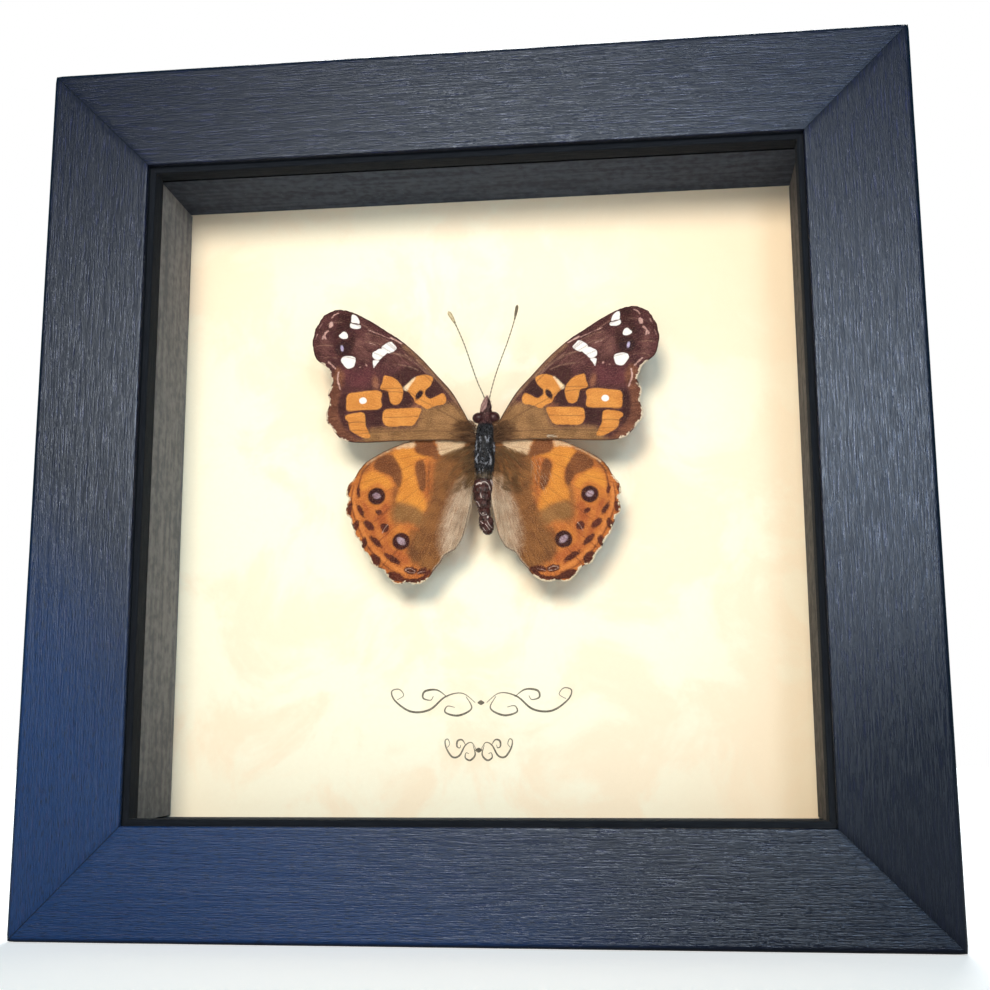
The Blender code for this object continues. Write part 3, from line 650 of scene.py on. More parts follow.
# Marks of the wings: smooth patches, ovals (u, v, long, short, turn) and strokes (route, width)
FOREWING_MARKS = {
    "basal": [
        ("patch", [(0.0, 2.0), (3.5, 4.8), (5.8, 6.2), (8.0, 5.6), (10.6, 5.2), (11.2, 3.2), (12.4, 1.9),
            (17.2, 1.9), (19.4, 1.6), (20.6, -0.2), (22.0, -1.5), (0.0, -1.5)]),
    ],
    "costa": [("stroke", [(2.8, 3.9), (5.2, 7.4), (8.2, 10.7), (11.3, 13.9), (13.8, 16.2)], 1.1)],
    "stripe": [
        ("stroke", [(3.4, 4.4), (5.8, 7.6), (8.6, 10.5), (11.8, 13.8)], 0.16),
        ("stroke", [(8.8, 10.2), (11.0, 12.4), (13.8, 14.8)], 0.22),
        ("stroke", [(11.4, 11.9), (13.0, 12.6), (15.6, 13.0)], 0.2),
        ("stroke", [(12.6, 13.6), (14.4, 14.6), (16.2, 15.0)], 0.3),
        ("stroke", [(16.6, 17.0), (18.6, 18.0), (20.6, 18.5)], 0.16),
        ("stroke", [(17.8, 16.4), (19.2, 16.9), (20.6, 17.0)], 0.14),
        ("stroke", [(19.4, 18.9), (21.4, 20.2), (22.6, 21.0)], 0.16),
        ("stroke", [(24.8, 20.6), (26.4, 20.6), (27.6, 20.2)], 0.12),
        ("stroke", [(26.4, 16.4), (27.8, 16.6), (29.2, 16.4)], 0.12),
        ("stroke", [(25.6, 14.2), (27.2, 14.4), (28.4, 14.0)], 0.12),
    ],
    "plum": [
        ("patch", [(12.2, 12.9), (13.4, 14.6), (15.0, 15.0), (16.6, 14.2), (17.0, 12.8), (15.0, 12.5),
            (13.4, 12.8)]),
        ("patch", [(16.8, 16.9), (19.8, 18.6), (21.2, 18.2), (21.0, 16.6), (19.6, 15.9), (18.2, 16.2)]),
        ("patch", [(19.9, 14.8), (21.2, 17.4), (22.6, 17.2), (22.4, 15.2), (21.6, 14.0), (20.2, 13.4)]),
        ("oval", 27.8, 16.6, 2.6, 0.7, 85.0),
    ],
    "wine": [
        ("patch", [(19.4, 9.6), (19.0, 11.6), (20.2, 13.0), (22.0, 12.0), (24.4, 12.0), (24.8, 9.4),
            (22.0, 8.9)]),
    ],
    "deep": [
        ("patch", [(7.0, 8.1), (7.8, 9.7), (9.0, 10.6), (9.6, 9.4), (10.3, 8.6), (10.3, 7.6), (9.4, 7.0),
            (8.7, 7.4), (7.9, 7.7)]),
        ("patch", [(10.4, 11.2), (11.2, 12.4), (12.8, 12.6), (14.6, 12.0), (15.4, 11.0), (14.6, 9.9),
            (13.9, 8.6), (12.8, 9.6), (12.0, 10.8)]),
        ("patch", [(12.0, 6.0), (12.7, 8.2), (13.9, 8.6), (13.9, 6.8), (14.6, 5.7), (12.6, 5.3)]),
        ("patch", [(15.7, 5.6), (16.3, 8.0), (17.8, 8.7), (17.4, 7.4), (17.4, 5.9), (18.2, 4.9),
            (20.7, 4.6), (20.4, 3.2), (20.2, 2.4), (17.5, 2.4), (17.4, 4.2), (16.9, 5.2)]),
        ("patch", [(23.6, 8.0), (24.8, 7.2), (25.0, 4.8), (24.2, 2.4), (23.2, 2.4), (23.8, 4.0),
            (23.7, 5.6)]),
        ("patch", [(23.0, 22.2), (25.4, 22.2), (25.8, 19.8), (26.4, 17.8), (25.4, 17.8), (24.8, 19.4),
            (23.5, 19.4), (23.3, 20.6)]),
        ("patch", [(22.8, 18.8), (23.6, 17.6), (25.4, 17.6), (26.2, 16.0), (25.2, 14.4), (23.6, 14.6),
            (22.8, 15.8), (22.6, 17.4)]),
    ],
    "margin": [
        ("patch", [(24.4, 11.8), (25.8, 12.6), (26.6, 10.4), (27.4, 8.0), (27.5, 4.0), (25.6, 0.8),
            (22.6, -0.8), (20.8, -0.8), (22.6, 0.8), (23.9, 2.2), (24.9, 4.4), (24.8, 8.0), (24.2, 9.8)]),
    ],
    "orange": [
        ("patch", [(8.8, 10.5), (9.5, 10.95), (10.4, 11.1), (11.7, 10.8), (12.8, 9.9), (13.75, 8.8),
            (12.9, 8.0), (12.1, 7.0), (11.7, 6.1), (10.7, 5.7), (9.8, 5.1), (8.9, 5.4), (8.0, 5.75),
            (6.9, 5.95), (6.5, 6.8), (6.95, 7.8), (8.0, 7.5), (9.2, 6.9), (10.1, 7.5), (10.1, 8.4),
            (9.2, 9.3)]),
        ("patch", [(17.2, 11.0), (17.5, 9.9), (17.85, 8.7), (16.6, 8.3), (16.3, 7.4), (15.95, 6.2),
            (15.2, 5.85), (14.4, 6.2), (14.0, 7.3), (13.95, 8.5), (14.5, 9.6), (15.6, 10.6)]),
        ("patch", [(17.5, 7.8), (18.0, 8.3), (19.4, 8.4), (21.2, 8.2), (23.0, 8.0), (23.6, 7.6),
            (23.7, 6.6), (23.6, 5.1), (23.0, 4.8), (20.8, 5.0), (18.4, 5.0), (17.5, 5.6), (17.7, 6.8)]),
        ("patch", [(10.8, 5.2), (12.6, 5.3), (15.0, 5.2), (16.7, 5.1), (17.3, 4.3), (17.2, 2.8),
            (16.1, 2.1), (14.2, 2.2), (12.2, 2.3), (11.5, 3.1), (11.0, 4.1)]),
        ("patch", [(20.6, 4.5), (22.0, 4.5), (23.5, 4.2), (23.8, 3.6), (23.2, 3.0), (23.1, 2.2),
            (22.7, 1.4), (21.6, 0.7), (20.4, 0.2), (19.3, 0.3), (19.7, 1.3), (20.2, 2.4), (20.3, 3.4)]),
    ],
    "rust": [("oval", 18.7, 9.8, 1.1, 0.5, 78.0), ("oval", 11.6, 5.6, 0.7, 0.3, 0.0)],
    "veinlet": [
        ("stroke", [(13.9, 8.0), (15.6, 8.2), (17.6, 8.1)], 0.16),
        ("stroke", [(11.2, 3.9), (14.0, 3.75), (17.0, 3.7)], 0.13),
        ("stroke", [(20.2, 2.9), (22.0, 2.95), (23.6, 2.7)], 0.2),
        ("stroke", [(19.6, 1.4), (21.2, 1.5), (23.0, 1.5)], 0.14),
        ("stroke", [(10.8, 5.5), (11.8, 5.9), (12.4, 6.8)], 0.2),
    ],
    "spot": [("oval", 11.15, 7.6, 0.95, 0.5, 122.0), ("oval", 24.5, 16.0, 1.4, 1.25, 0.0)],
    "cream": [
        ("patch", [(11.9, 10.7), (12.7, 10.1), (13.4, 9.3), (13.9, 8.8), (13.3, 8.3), (12.9, 9.0),
            (12.4, 9.8)]),
    ],
    "white": [
        ("patch", [(22.1, 21.3), (22.7, 21.9), (23.25, 22.0), (23.3, 21.0), (23.2, 20.5), (22.4, 20.4),
            (21.8, 20.3)]),
        ("patch", [(21.7, 20.0), (22.6, 20.15), (23.4, 20.35), (23.4, 19.7), (22.6, 19.4), (21.6, 19.5)]),
        ("patch", [(23.9, 18.5), (24.5, 18.95), (25.1, 18.5), (25.4, 18.2), (24.8, 17.7), (23.9, 17.75)]),
        ("patch", [(22.3, 14.1), (23.0, 14.5), (24.3, 14.5), (24.85, 13.8), (24.2, 12.8), (23.6, 12.35),
            (22.7, 12.6), (22.4, 13.2)]),
        ("patch", [(15.2, 15.85), (15.8, 16.6), (16.3, 17.0), (17.3, 16.5), (17.85, 15.9), (17.0, 15.2),
            (16.5, 14.95), (15.7, 15.3)]),
        ("patch", [(16.8, 15.2), (18.0, 15.75), (18.8, 15.4), (19.35, 15.0), (19.3, 14.2), (18.6, 13.85),
            (18.1, 13.85), (17.5, 14.4)]),
        ("patch", [(18.2, 13.65), (18.8, 13.75), (19.3, 13.65), (19.2, 12.9), (19.05, 12.3),
            (18.6, 13.1)]),
        ("oval", 20.8, 6.65, 0.66, 0.56, 0.0),
    ],
    "blush": [
        ("stroke", [(14.4, 16.7), (15.3, 17.2), (16.3, 17.7)], 0.3),
        ("stroke", [(16.6, 17.6), (18.2, 18.3), (20.3, 19.1)], 0.13),
        ("stroke", [(25.7, 22.3), (26.3, 22.0), (26.7, 21.4)], 0.22),
        ("oval", 26.85, 20.2, 0.6, 0.34, 110.0),
        ("stroke", [(27.3, 19.1), (27.9, 18.5), (27.7, 17.7)], 0.3),
        ("oval", 28.2, 18.0, 0.3, 0.14, 100.0),
        ("stroke", [(27.1, 13.6), (26.5, 13.1), (25.8, 12.4)], 0.26),
        ("stroke", [(25.2, 11.7), (25.35, 10.4), (24.8, 8.7)], 0.26),
        ("stroke", [(18.9, 16.4), (19.6, 16.7), (20.2, 16.8)], 0.1),
        ("oval", 20.4, 12.9, 0.22, 0.12, 60.0), ("oval", 21.5, 12.6, 0.14, 0.1, 0.0),
        ("stroke", [(28.4, 20.6), (28.9, 19.6)], 0.1), ("stroke", [(29.2, 18.6), (29.5, 17.8)], 0.1),
    ],
    "pupil": [("oval", 24.75, 15.95, 0.52, 0.26, 78.0)],
}

HINDWING_MARKS = {
    "basal": [
        ("patch", [(0.0, 2.0), (7.6, 1.6), (7.8, -2.4), (8.6, -4.4), (9.0, -9.0), (10.0, -12.4),
            (11.0, -15.0), (12.3, -18.0), (12.4, -20.2), (10.8, -21.6), (8.0, -22.8), (4.0, -16.0),
            (0.0, -8.0)]),
    ],
    "dusk": [
        ("patch", [(14.2, -7.6), (15.2, -8.4), (15.6, -10.4), (16.0, -12.0), (15.6, -13.6), (14.6, -14.8),
            (14.0, -12.0), (14.4, -10.0)]),
        ("stroke", [(15.8, -2.0), (17.6, -2.9), (19.4, -4.0), (20.9, -5.6)], 0.8),
        ("patch", [(11.6, -15.2), (12.9, -16.6), (12.7, -19.4), (11.2, -20.8), (10.2, -18.0)]),
    ],
    "bright": [
        ("patch", [(11.9, -0.9), (13.8, -1.1), (15.7, -2.2), (15.0, -3.6), (14.2, -5.0), (13.8, -6.6),
            (14.4, -8.8), (14.7, -10.6), (13.6, -11.0), (11.8, -11.6), (10.6, -12.6), (9.7, -11.8),
            (10.2, -9.4), (11.2, -7.8), (11.8, -5.4), (11.6, -3.6), (9.2, -3.0), (11.2, -2.4),
            (12.2, -1.6)]),
        ("patch", [(16.4, -6.6), (18.8, -5.4), (20.4, -6.2), (21.0, -8.2), (20.0, -8.6), (18.0, -7.4),
            (16.4, -8.6), (15.6, -8.0)]),
    ],
    "blaze": [
        ("stroke", [(22.0, -8.2), (22.1, -10.4), (21.6, -12.6), (20.6, -15.0), (19.2, -17.6),
            (17.2, -19.9), (15.0, -21.6), (13.0, -22.6)], 0.55),
    ],
    "ember": [
        ("stroke", [(16.6, -11.6), (17.2, -13.6), (16.0, -16.4), (15.2, -18.8), (13.0, -20.6)], 1.6),
        ("stroke", [(20.2, -10.6), (19.6, -12.8), (18.6, -15.8), (16.8, -18.6), (13.8, -21.2)], 0.7),
    ],
    "olive": [
        ("patch", [(9.9, -12.8), (11.4, -11.6), (13.0, -11.0), (14.4, -10.9), (15.1, -12.0),
            (15.0, -13.4), (14.0, -14.3), (12.4, -14.3), (11.0, -15.0), (10.2, -14.4)]),
    ],
    "brown": [
        ("patch", [(7.8, -3.4), (7.8, -2.0), (8.1, -1.2), (8.7, -0.4), (9.4, 0.8), (11.4, 0.5),
            (11.95, -1.2), (11.5, -2.2), (10.3, -2.7), (9.0, -3.0)]),
        ("patch", [(10.4, -3.6), (11.2, -3.7), (11.7, -4.7), (11.5, -6.0), (11.1, -7.6), (10.6, -8.8),
            (10.0, -8.8), (9.7, -7.6), (9.75, -6.0), (10.0, -4.4)]),
        ("patch", [(15.7, -2.6), (17.3, -2.8), (18.8, -4.0), (18.5, -5.1), (17.1, -5.8), (15.8, -6.3),
            (15.0, -7.6), (14.4, -8.2), (13.9, -7.2), (14.0, -5.4), (14.7, -4.0)]),
        ("oval", 9.35, -6.2, 1.7, 0.16, 92.0),
    ],
    "line": [
        ("stroke", [(19.4, -3.9), (20.7, -5.6), (21.2, -7.6), (21.3, -9.4)], 0.26),
        ("stroke", [(22.1, -8.0), (22.5, -10.2), (22.0, -12.8), (21.0, -15.4), (19.6, -18.0),
            (17.6, -20.4), (15.4, -22.2), (13.2, -23.0)], 0.2),
        ("stroke", [(16.0, -11.8), (17.6, -13.4), (19.0, -14.4)], 0.12),
        ("stroke", [(14.4, -18.9), (15.8, -20.4), (17.0, -21.8)], 0.12),
        ("stroke", [(15.9, -16.0), (17.8, -17.6), (19.6, -19.0)], 0.12),
    ],
    "halo": [("oval", 18.6, -9.7, 1.9, 1.9, 0.0), ("oval", 14.3, -17.0, 1.9, 1.9, 0.0)],
    "spot": [
        ("oval", 17.7, -12.5, 0.58, 0.44, 30.0), ("oval", 16.6, -15.1, 0.8, 0.68, 60.0),
        ("oval", 21.3, -9.0, 0.95, 0.34, 88.0), ("oval", 20.8, -12.2, 1.2, 0.42, 60.0),
        ("oval", 19.3, -14.7, 1.1, 0.6, 42.0), ("oval", 18.0, -17.5, 1.3, 0.5, 44.0),
        ("oval", 15.2, -20.3, 1.6, 0.5, 32.0), ("oval", 22.7, -11.8, 1.2, 0.44, 95.0),
        ("oval", 21.6, -14.8, 1.05, 0.55, 110.0), ("oval", 20.1, -17.7, 1.0, 0.62, 100.0),
        ("oval", 18.1, -20.5, 1.25, 0.85, 45.0), ("oval", 14.7, -23.3, 1.7, 0.72, 14.0),
        ("oval", 23.1, -8.9, 1.2, 0.3, 110.0),
        ("stroke", [(8.9, -22.4), (9.9, -23.6), (11.4, -24.0), (13.4, -23.9), (15.4, -23.2)], 0.75),
        ("oval", 12.0, -22.3, 1.2, 0.62, 8.0), ("oval", 10.1, -22.4, 1.0, 0.5, -20.0),
    ],
    "eye": [("oval", 18.15, -9.7, 1.5, 1.46, 0.0), ("oval", 13.75, -17.4, 1.5, 1.48, 0.0)],
    "pupil": [("oval", 18.15, -9.65, 0.66, 0.52, 20.0), ("oval", 13.75, -17.35, 0.85, 0.52, 40.0)],
    "glint": [
        ("stroke", [(16.1, -14.5), (16.6, -15.2), (17.0, -16.0)], 0.14),
        ("stroke", [(11.2, -22.45), (12.0, -22.0), (12.9, -22.1)], 0.13),
        ("stroke", [(11.3, -22.7), (12.2, -22.6), (12.9, -22.3)], 0.1),
        ("stroke", [(9.6, -22.4), (10.3, -22.5), (10.9, -22.8)], 0.12),
    ],
    "cream": [
        ("patch", [(3.2, -0.3), (5.0, -0.2), (8.0, -0.1), (7.9, -1.4), (7.4, -2.6), (5.8, -2.2),
            (3.8, -1.6)]),
        ("patch", [(12.0, 0.4), (13.0, -0.1), (14.6, -0.9), (15.0, -1.5), (13.4, -1.3), (12.1, -1.3)]),
        ("stroke", [(14.2, -0.8), (16.2, -1.7), (18.2, -2.7), (20.0, -3.9)], 0.34),
    ],
    "fold": [
        ("patch", [(0.6, -7.2), (3.2, -6.8), (4.7, -8.4), (5.9, -11.4), (6.8, -14.6), (7.0, -17.4),
            (6.2, -19.8), (1.6, -18.0)]),
    ],
    "edge": [
        ("stroke", [(1.8, -8.0), (2.1, -10.7), (2.5, -13.0), (3.0, -15.2), (3.7, -17.2), (4.9, -18.8),
            (6.3, -19.5), (7.1, -20.9), (8.2, -22.3)], 0.5),
    ],
}


def wing_sheet(outline):
    """Even points over a wing and the triangles between them."""
    rim = resampled(curve_through(outline, 5), WING_SPACING)
    tatters = lattice_noise(rim[:, 0] * 2.1, rim[:, 1] * 2.1, SEED + len(outline))
    outer = smooth(9.0, 20.0, np.hypot(*rim.T))
    rim = rim * (1.0 + MARGIN_TATTER * outer * tatters / np.hypot(*rim.T))[:, None]
    low, high = rim.min(0), rim.max(0)
    rows = np.arange(low[1], high[1], WING_SPACING * math.sqrt(3.0) / 2.0)
    inner = []
    for k, v in enumerate(rows):
        u = np.arange(low[0] + (k % 2) * WING_SPACING / 2.0, high[0], WING_SPACING)
        inner.append(np.stack([u, np.full(len(u), v)], 1))
    inner = np.vstack(inner)
    inner = inner[area_cover(inner, rim) > 0.6 * WING_SPACING]
    spots = np.vstack([rim, inner])
    count = len(rim)
    edges = [(i, (i + 1) % count) for i in range(count)]
    made = delaunay_2d_cdt([Vector(p) for p in spots.tolist()], edges, [], 1, 1e-6)
    return np.array([tuple(p) for p in made[0]]), np.array(made[2]), rim


def marks_cover(spots, marks):
    """How deep each spot lies inside any of the marks."""
    makers = {"patch": patch_cover, "oval": oval_cover, "stroke": stroke_cover}
    best = np.full(len(spots), FAR_OUTSIDE)
    for kind, *values in marks:
        best = np.maximum(best, makers[kind](spots, *values))
    return best


def wing_height(spots, veins, rim_depth, rise, seed):
    """Height over the card: lifted outwards, pleated between the veins and curled at the margin."""
    height = rise + WING_LIFT * spots[:, 0]
    height += VEIN_RIDGE * np.exp(-(veins / VEIN_SPREAD) ** 2)
    height += PLEAT * (1.0 - smooth(0.0, PLEAT_REACH, veins))
    height += SWELL * lattice_noise(spots[:, 0] * 0.16, spots[:, 1] * 0.16, seed)
    height -= CURL * (1.0 - smooth(0.0, CURL_REACH, rim_depth)) * smooth(12.0, 22.0, np.hypot(*spots.T))
    return height


# What differs between the wings; the pale fringe shows below one v and beyond one u
WINGS = {
    "forewing": {"outline": FOREWING_OUTLINE, "veins": FOREWING_VEINS, "marks": FOREWING_MARKS,
                 "hinge": (2.0, 1.6), "rise": FOREWING_RISE, "seed": SEED + 10,
                 "fringe_below": 13.6, "fringe_beyond": 23.0},
    "hindwing": {"outline": HINDWING_OUTLINE, "veins": HINDWING_VEINS, "marks": HINDWING_MARKS,
                 "hinge": (2.2, -1.6), "rise": HINDWING_RISE, "seed": SEED + 20,
                 "fringe_below": -6.5, "fringe_beyond": 9.0},
}


def build_wing(name, side, kind, mat):
    """One wing: a thin closed sheet with its marks as fields."""
    wing = WINGS[kind]
    size = RIGHT_SIZE if side > 0 else 1.0
    seed = wing["seed"] + int(side)
    spots, triangles, rim = wing_sheet(wing["outline"])
    count = len(spots)
    lines = [curve_through(route, 4, closed=False) for route in wing["veins"]]
    vein_distance = np.min([line_distance(spots, line) for line in lines], axis=0)
    rim_depth = line_distance(spots, rim, closed=True)
    placed = spots.copy()
    if side > 0 and kind == "hindwing":
        placed[:, 0] -= FOLD_BULGE * smooth(-5.0, -9.0, spots[:, 1]) * (1.0 - smooth(6.0, 12.0, spots[:, 0]))
    height = wing_height(spots, vein_distance, rim_depth, wing["rise"], seed)
    u, v = (placed * (side * size, size)).T
    top = on_card(u, height + WING_THICKNESS / 2.0, v)
    under = on_card(u, height - WING_THICKNESS / 2.0, v)
    turned = triangles if side < 0 else triangles[:, ::-1]
    directed = np.vstack([turned[:, [0, 1]], turned[:, [1, 2]], turned[:, [2, 0]]])
    known = {tuple(edge) for edge in directed.tolist()}
    rim_edges = [(a, b) for a, b in known if (b, a) not in known]
    faces = turned.tolist() + (turned[:, ::-1] + count).tolist()
    faces += [(b, a, a + count, b + count) for a, b in rim_edges]
    thing = add_mesh(name, np.vstack([top, under]), faces, [mat])
    outer = (spots[:, 1] < wing["fringe_below"]) & (spots[:, 0] > wing["fringe_beyond"])
    fringe = np.minimum(FRINGE_WIDTHS[side > 0] - rim_depth, 0.6 * (vein_distance - 0.35))
    fields = {key: marks_cover(spots, marks) for key, marks in wing["marks"].items()}
    fields.update({"veins": vein_distance, "rim": rim_depth, "fringe": np.where(outer, fringe, -1.0)})
    across, along = (spots - wing["hinge"]).T
    bearing = np.arctan2(along, across)
    layer = np.full(count, float(seed))
    fields["ray"] = np.column_stack([np.hypot(across, along), bearing * BEARING_SCALE, layer])
    fields["flat"] = np.column_stack([spots, layer])
    for key, values in fields.items():
        add_field(thing, key, np.concatenate([values, values]))
    add_field(thing, "under", np.repeat([0.0, 1.0], count))
    return thing


STUDIO_GAIN = (1.08, 1.12, 1.1)     # how much brighter a surface looks here than its base colour
WHITEST = 0.97


def lit(r, g, b):
    """A base colour for a surface that is to look like these 0 to 255 values in the studio."""
    return tuple(min(c / gain, WHITEST) for c, gain in zip(colour(r, g, b), STUDIO_GAIN))


def wing_material(name, ground, layers, vein_tint, vein_strength, fringe_tint, underside):
    """Scales over a veined membrane.

    ground is two colours; each layer is (field, light, dark, softness, wobble, strength).
    """
    p = Paint(name, roughness=0.8, specular_ior_level=0.08)
    ray, flat = p.field("ray", "Vector"), p.field("flat", "Vector")
    streaks = p.noise(p.place((0.4, 4.2, 1.0), ray), detail=4.0, roughness=0.65)
    wobble = p.noise(p.place((1.6, 1.6, 1.0), flat), detail=3.0, roughness=0.6)
    clouds = p.noise(p.place((0.4, 0.4, 1.0), flat), detail=3.0)
    scales = p.noise(p.place((6.5, 6.5, 1.0), flat), detail=2.0, roughness=0.75)
    grit = p.sum(p.times(streaks, 0.5), p.times(scales, 0.5))
    vary = p.step(p.sum(p.times(grit, 0.65), p.times(clouds, 0.35)), 0.4, 0.6)
    shift = p.less(wobble, 0.5)
    tint = p.mix(vary, *ground)
    for field, light, dark, softness, wobble_size, strength in layers:
        cover = p.sum(p.field(field), p.times(shift, wobble_size))
        shade = p.mix(vary, dark, light)
        tint = p.mix(p.step(cover, -softness, softness, 0.0, strength), tint, shade)
    tint = p.mix(p.step(p.field("veins"), 0.03, 0.16, vein_strength, 0.0), tint, vein_tint)
    tint = p.mix(p.step(p.field("rim"), 0.06, 0.34, 0.75, 0.0), tint, lit(46, 22, 20))
    frayed = p.sum(p.field("fringe"), p.times(shift, 1.1))
    tint = p.mix(p.step(frayed, -0.02, 0.08, 0.0, 0.9), tint, fringe_tint)
    tint = p.mix(p.step(scales, 0.3, 0.6, 0.36, 0.0), tint, lit(30, 16, 12))
    tint = p.mix(p.step(scales, 0.52, 0.78, 0.0, 0.3), tint, lit(240, 200, 160))
    tint = p.mix(p.times(p.field("under"), 0.6), tint, underside)
    height = p.sum(scales, p.times(streaks, 0.6))
    return p.finish(tint, normal=p.bump(height, 0.05, 0.55))


def forewing_material():
    layers = [
        ("wine", lit(104, 54, 60), lit(78, 38, 46), 0.8, 1.2, 0.8),
        ("plum", lit(132, 92, 84), lit(92, 54, 52), 0.6, 1.8, 0.6),
        ("margin", lit(134, 86, 62), lit(84, 46, 36), 0.5, 1.1, 0.9),
        ("costa", lit(158, 122, 92), lit(100, 66, 50), 0.45, 0.6, 0.8),
        ("basal", lit(166, 124, 80), lit(124, 90, 54), 0.8, 1.4, 0.95),
        ("deep", lit(68, 34, 36), lit(44, 20, 24), 0.4, 0.7, 0.94),
        ("stripe", lit(178, 144, 122), lit(134, 100, 84), 0.12, 0.35, 0.5),
        ("rust", lit(178, 122, 92), lit(136, 84, 60), 0.4, 0.6, 0.8),
        ("orange", lit(228, 156, 76), lit(204, 130, 58), 0.12, 0.26, 1.0),
        ("veinlet", lit(128, 74, 44), lit(100, 54, 34), 0.1, 0.15, 0.75),
        ("spot", lit(54, 28, 34), lit(36, 18, 26), 0.14, 0.3, 1.0),
        ("cream", lit(255, 240, 208), lit(244, 216, 168), 0.22, 0.3, 0.95),
        ("blush", lit(232, 196, 184), lit(196, 150, 138), 0.1, 0.3, 0.85),
        ("white", lit(255, 254, 250), lit(255, 250, 240), 0.08, 0.14, 1.0),
        ("pupil", lit(214, 204, 232), lit(170, 160, 200), 0.1, 0.12, 0.95),
    ]
    ground = (lit(58, 28, 34), lit(92, 52, 54))
    return wing_material("forewing_scales", ground, layers, lit(70, 40, 32), 0.42, lit(232, 216, 188),
                         lit(150, 118, 92))


def hindwing_material():
    layers = [
        ("dusk", lit(158, 102, 52), lit(124, 74, 40), 0.6, 0.8, 0.85),
        ("basal", lit(142, 96, 52), lit(104, 66, 38), 0.9, 1.4, 0.95),
        ("bright", lit(228, 152, 62), lit(208, 130, 50), 0.5, 0.5, 0.95),
        ("blaze", lit(226, 146, 76), lit(206, 122, 58), 0.2, 0.4, 0.8),
        ("ember", lit(182, 98, 50), lit(146, 70, 38), 0.6, 0.8, 0.8),
        ("olive", lit(150, 110, 66), lit(128, 92, 50), 0.7, 0.6, 0.92),
        ("halo", lit(212, 132, 58), lit(182, 104, 44), 0.35, 0.3, 0.7),
        ("brown", lit(124, 76, 44), lit(94, 54, 32), 0.32, 0.6, 0.92),
        ("fold", lit(212, 190, 162), lit(164, 134, 106), 1.3, 1.6, 0.95),
        ("edge", lit(240, 228, 200), lit(206, 184, 152), 0.16, 0.5, 0.75),
        ("line", lit(118, 58, 36), lit(90, 42, 30), 0.12, 0.2, 0.85),
        ("spot", lit(92, 38, 30), lit(58, 24, 22), 0.15, 0.6, 0.97),
        ("eye", lit(64, 26, 26), lit(40, 14, 20), 0.2, 0.2, 1.0),
        ("pupil", lit(190, 170, 180), lit(140, 112, 124), 0.16, 0.35, 0.92),
        ("glint", lit(230, 206, 190), lit(190, 156, 140), 0.06, 0.1, 0.85),
        ("cream", lit(244, 220, 180), lit(206, 172, 132), 0.35, 0.8, 0.85),
    ]
    ground = (lit(180, 100, 48), lit(210, 128, 58))
    return wing_material("hindwing_scales", ground, layers, lit(118, 66, 36), 0.28, lit(236, 220, 186),
                         lit(160, 124, 84))


def build_wings():
    mats = {"forewing": forewing_material(), "hindwing": hindwing_material()}
    for name, side in SIDES:
        for kind, mat in mats.items():
            wing = build_wing("painted_lady_" + kind + "_" + name, side, kind, mat)
            finish_piece(wing, kind, kind + "_" + name)


# ---------------------------------------------------------------- body, antennae and hair
# The body from tail to head: (v, half width, half height, sideways bend)
BODY_STATIONS = [
    (-16.3, 0.3, 0.35, 0.85), (-16.0, 0.7, 0.65, 0.82), (-15.4, 1.05, 0.9, 0.7), (-14.7, 1.2, 1.0, 0.6),
    (-14.0, 1.22, 1.05, 0.55), (-13.3, 1.05, 1.0, 0.38), (-12.7, 0.98, 1.0, 0.25),
    (-11.5, 1.08, 1.0, 0.1), (-10.5, 1.35, 1.1, -0.1), (-9.6, 1.5, 1.15, -0.2), (-8.6, 1.6, 1.2, -0.15),
    (-7.6, 1.62, 1.15, -0.05), (-6.8, 1.4, 1.05, 0.0), (-6.2, 1.25, 1.0, 0.05), (-5.4, 1.35, 1.2, 0.1),
    (-4.4, 1.52, 1.55, 0.12), (-3.0, 1.64, 1.8, 0.15), (-1.5, 1.66, 1.9, 0.16), (0.0, 1.62, 1.9, 0.18),
    (1.2, 1.54, 1.75, 0.2), (2.2, 1.42, 1.45, 0.25), (2.9, 1.2, 1.1, 0.26), (3.8, 1.1, 0.9, 0.26),
    (4.5, 1.0, 0.85, 0.28), (5.1, 0.8, 0.75, 0.3), (5.7, 0.6, 0.6, 0.34),
]
BODY_RISE = 4.0
BODY_SIDES = 72
BODY_ROWS = 330
ABDOMEN_RINGS = 1.25    # length of one segment of the abdomen
SEGMENT_CREASE = 0.1    # depth of the crease between two segments
ABDOMEN_FRONT = -5.6    # creases lie behind this v, and the paler rings behind the next
RINGS_FRONT = -6.6
# Glints of the body are painted highlights: pale marks on the abdomen, and pale hairs on the thorax and the
# abdomen.
ABDOMEN_GLINTS = [
    ("stroke", [(-1.1, -7.9), (-0.6, -7.7), (-0.3, -7.8)], 0.28),
    ("stroke", [(-0.4, -7.7), (0.3, -7.5), (0.9, -7.9), (1.2, -8.8)], 0.13),
    ("stroke", [(1.3, -7.2), (1.5, -7.6), (1.6, -8.0)], 0.3),
    ("stroke", [(-1.2, -10.7), (-0.8, -11.0), (-0.5, -11.6)], 0.16),
    ("stroke", [(-0.4, -9.4), (-0.2, -10.2)], 0.14), ("oval", 0.9, -13.4, 0.26, 0.16, 80.0),
    ("stroke", [(-0.3, -14.1), (0.1, -14.5)], 0.16),
    ("stroke", [(0.8, -14.1), (1.2, -14.8), (1.6, -15.2)], 0.1),
    ("stroke", [(0.5, -14.6), (0.9, -15.1), (1.2, -15.5)], 0.1),
    ("stroke", [(0.1, -15.2), (0.5, -15.7)], 0.1), ("oval", 0.1, -12.8, 0.16, 0.1, 0.0),
    ("stroke", [(-0.5, -12.6), (0.0, -13.1), (0.7, -13.0)], 0.1),
]
